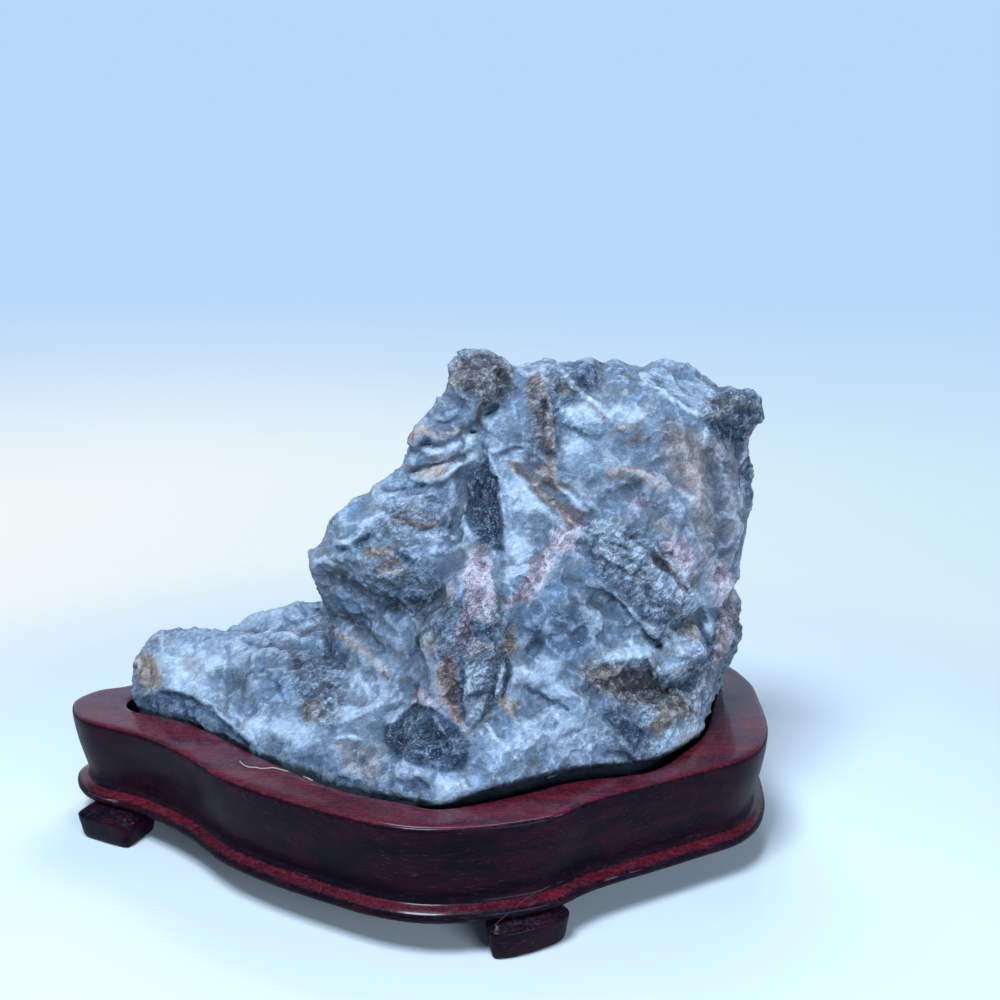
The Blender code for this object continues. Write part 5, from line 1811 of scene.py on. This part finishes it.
def makeThreadTree():
    tree, start, end = newTree("thinStrand", {
        "Radius": "NodeSocketFloat", "Wander": "NodeSocketFloat", "Material": "NodeSocketMaterial"})
    resample = addNode(tree, "GeometryNodeResampleCurve", Count=70)
    join(tree, start.outputs["Geometry"], resample.inputs["Curve"])
    noise = addNode(tree, "ShaderNodeTexNoise", Scale=700.0)
    join(tree, tree.nodes.new("GeometryNodeInputPosition").outputs[0], noise.inputs["Vector"])
    centred = vectorNode(tree, "SUBTRACT", noise.outputs["Color"], (0.5, 0.5, 0.5))
    strayed = vectorNode(tree, "SCALE", centred, scale=start.outputs["Wander"])
    place = tree.nodes.new("GeometryNodeSetPosition")
    join(tree, resample.outputs[0], place.inputs["Geometry"])
    join(tree, strayed, place.inputs["Offset"])
    circle = addNode(tree, "GeometryNodeCurvePrimitiveCircle", Resolution=8)
    join(tree, start.outputs["Radius"], circle.inputs["Radius"])
    tube = tree.nodes.new("GeometryNodeCurveToMesh")
    tube.inputs["Fill Caps"].default_value = True
    join(tree, place.outputs[0], tube.inputs["Curve"])
    join(tree, circle.outputs[0], tube.inputs["Profile Curve"])
    endTree(tree, tube.outputs[0], start, end)
    return tree


def makeStrand(name, tree, line, wood, look, material):
    source = lineObject(name, [onWood(wood, pixel, look["radius"] * mm) for pixel in line])
    addTree(source, tree, {
        "Radius": look["radius"] * mm, "Wander": look["wander"] * mm, "Material": material})
    mesh = builtMesh(source)
    bpy.data.objects.remove(source)
    smoothFaces(mesh)
    print(name + ":", len(mesh.polygons), "faces")
    return newObject(name, mesh)


def makeStrandMaterial(name, colour):
    material, tree, shader = newMaterial(name, 0.7)
    grain = useGroup(tree, "mineralGrain", {"Size": 0.6, "Fleck share": 0.3})
    darker = tuple(part * 0.5 for part in colour)
    join(tree, mixColour(tree, grain["Fine"], darker, colour), shader.inputs["Base Color"])
    addBump(tree, shader, grain["Fine"], 0.4, 0.0001)
    return material


# plain floor that runs up into the backdrop


def makeBackdropMaterial():
    look = backdropLook
    material, tree, shader = newMaterial("paleBackdrop", 0.9, specular=0.1)
    times, _, plus = sums(tree)
    parts = splitNode(tree, addNode(tree, "ShaderNodeTexCoord").outputs["Object"])
    away = mathNode(tree, "POWER", parts["X"], 2.0)
    away = mathNode(tree, "SQRT", plus(away, mathNode(tree, "POWER", parts["Y"], 2.0)))
    rise = ramp(tree, plus(away, parts["Z"]), *look["tintRise"])
    low = mixColour(tree, ramp(tree, parts["X"], -0.5, 0.5), look["lowLeft"], look["lowRight"])
    glow = mixColour(tree, rise, low, look["highColour"])
    behind = ramp(tree, parts["Y"], -0.5, 0.25)
    outside = ramp(tree, away, *look["glowStart"])
    strength = times(outside, plus(times(behind, look["glowBehind"]), look["glow"]))
    strength = times(strength, plus(times(ramp(tree, parts["Z"], 0.76, 0.61), 0.92), 0.08))

    # the eye meets it evenly bright all round, while the front half sheds less light on the lacquer
    front = ramp(tree, parts["Y"], -0.10, -0.45)
    even = times(mathNode(tree, "MAXIMUM", behind, front), look["glowBehind"])
    even = times(outside, plus(even, look["glow"]))
    direct = addNode(tree, "ShaderNodeLightPath").outputs["Is Camera Ray"]
    strength = plus(strength, times(mathNode(tree, "SUBTRACT", even, strength), direct))
    black = (0.0, 0.0, 0.0)
    join(tree, mixColour(tree, strength, black, glow), shader.inputs["Emission Color"])
    shader.inputs["Emission Strength"].default_value = 1.0
    join(tree, mixColour(tree, outside, look["floorColour"], black), shader.inputs["Base Color"])
    return material


def makeBackdrop():
    look = backdropLook
    sides = look["sides"]
    steps = look["bendSteps"]
    bend = look["wallRadius"] - look["floorRadius"]
    rings = [(share * look["floorRadius"], 0.0) for share in (0.25, 0.5, 0.8, 1.0)]
    for i in range(1, steps + 1):
        angle = math.pi / 2 * i / steps
        rings.append((look["floorRadius"] + bend * math.sin(angle), bend * (1 - math.cos(angle))))
    rings.append((look["wallRadius"], look["wallHeight"]))
    bm = bmesh.new()
    loops = []
    for radius, z in rings:
        loops.append([bm.verts.new((radius * math.cos(a), radius * math.sin(a), z))
                      for a in (2 * math.pi * k / sides for k in range(sides))])
    bm.faces.new(loops[0])
    for low, high in zip(loops, loops[1:]):
        for k in range(sides):
            bm.faces.new((low[k], high[k], high[k - 1], low[k - 1]))
    bm.normal_update()
    turned = [face for face in bm.faces
              if face.normal.z < -0.01 or face.normal.dot(face.calc_center_median()) > 0.1]
    bmesh.ops.reverse_faces(bm, faces=turned)
    mesh = bpy.data.meshes.new("backdrop")
    bm.to_mesh(mesh)
    bm.free()
    smoothFaces(mesh)
    mesh.materials.append(makeBackdropMaterial())
    return newObject("backdrop", mesh)


makeCamera()
makeLight()
makeGrainGroup()
makeFlakeGroup()
makeDustGroup()
backdrop = makeBackdrop()
print("stage ready")

stone, ringTree = carveStone()
paintStone(stone, ringTree)
stone.data.materials.clear()
stone.data.materials.append(makeStoneMaterial())
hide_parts("stone")
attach(stone, "root")
grit = makeGrit(stone, makeGritMaterial())
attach(grit, "root")

stand, feet = makeStand(makeWoodMaterial())
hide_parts("stand")
for obj, name in zip(feet, footLook["places"]):
    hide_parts(name)
for obj in [stand] + feet:
    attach(obj, "root")

strandTree = makeThreadTree()
bm = bmesh.new()
for obj in [stand] + feet:
    bm.from_mesh(obj.data)
wood = BVHTree.FromBMesh(bm)
bm.free()
thread = makeStrand("driedThread", strandTree, threadLine, wood, threadLook,
                    makeStrandMaterial("paleThread", threadLook["colour"]))
hair = makeStrand("strayHair", strandTree, hairLine, wood, hairLook,
                  makeStrandMaterial("darkHair", hairLook["colour"]))
for obj in (thread, hair):
    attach(obj, "root")
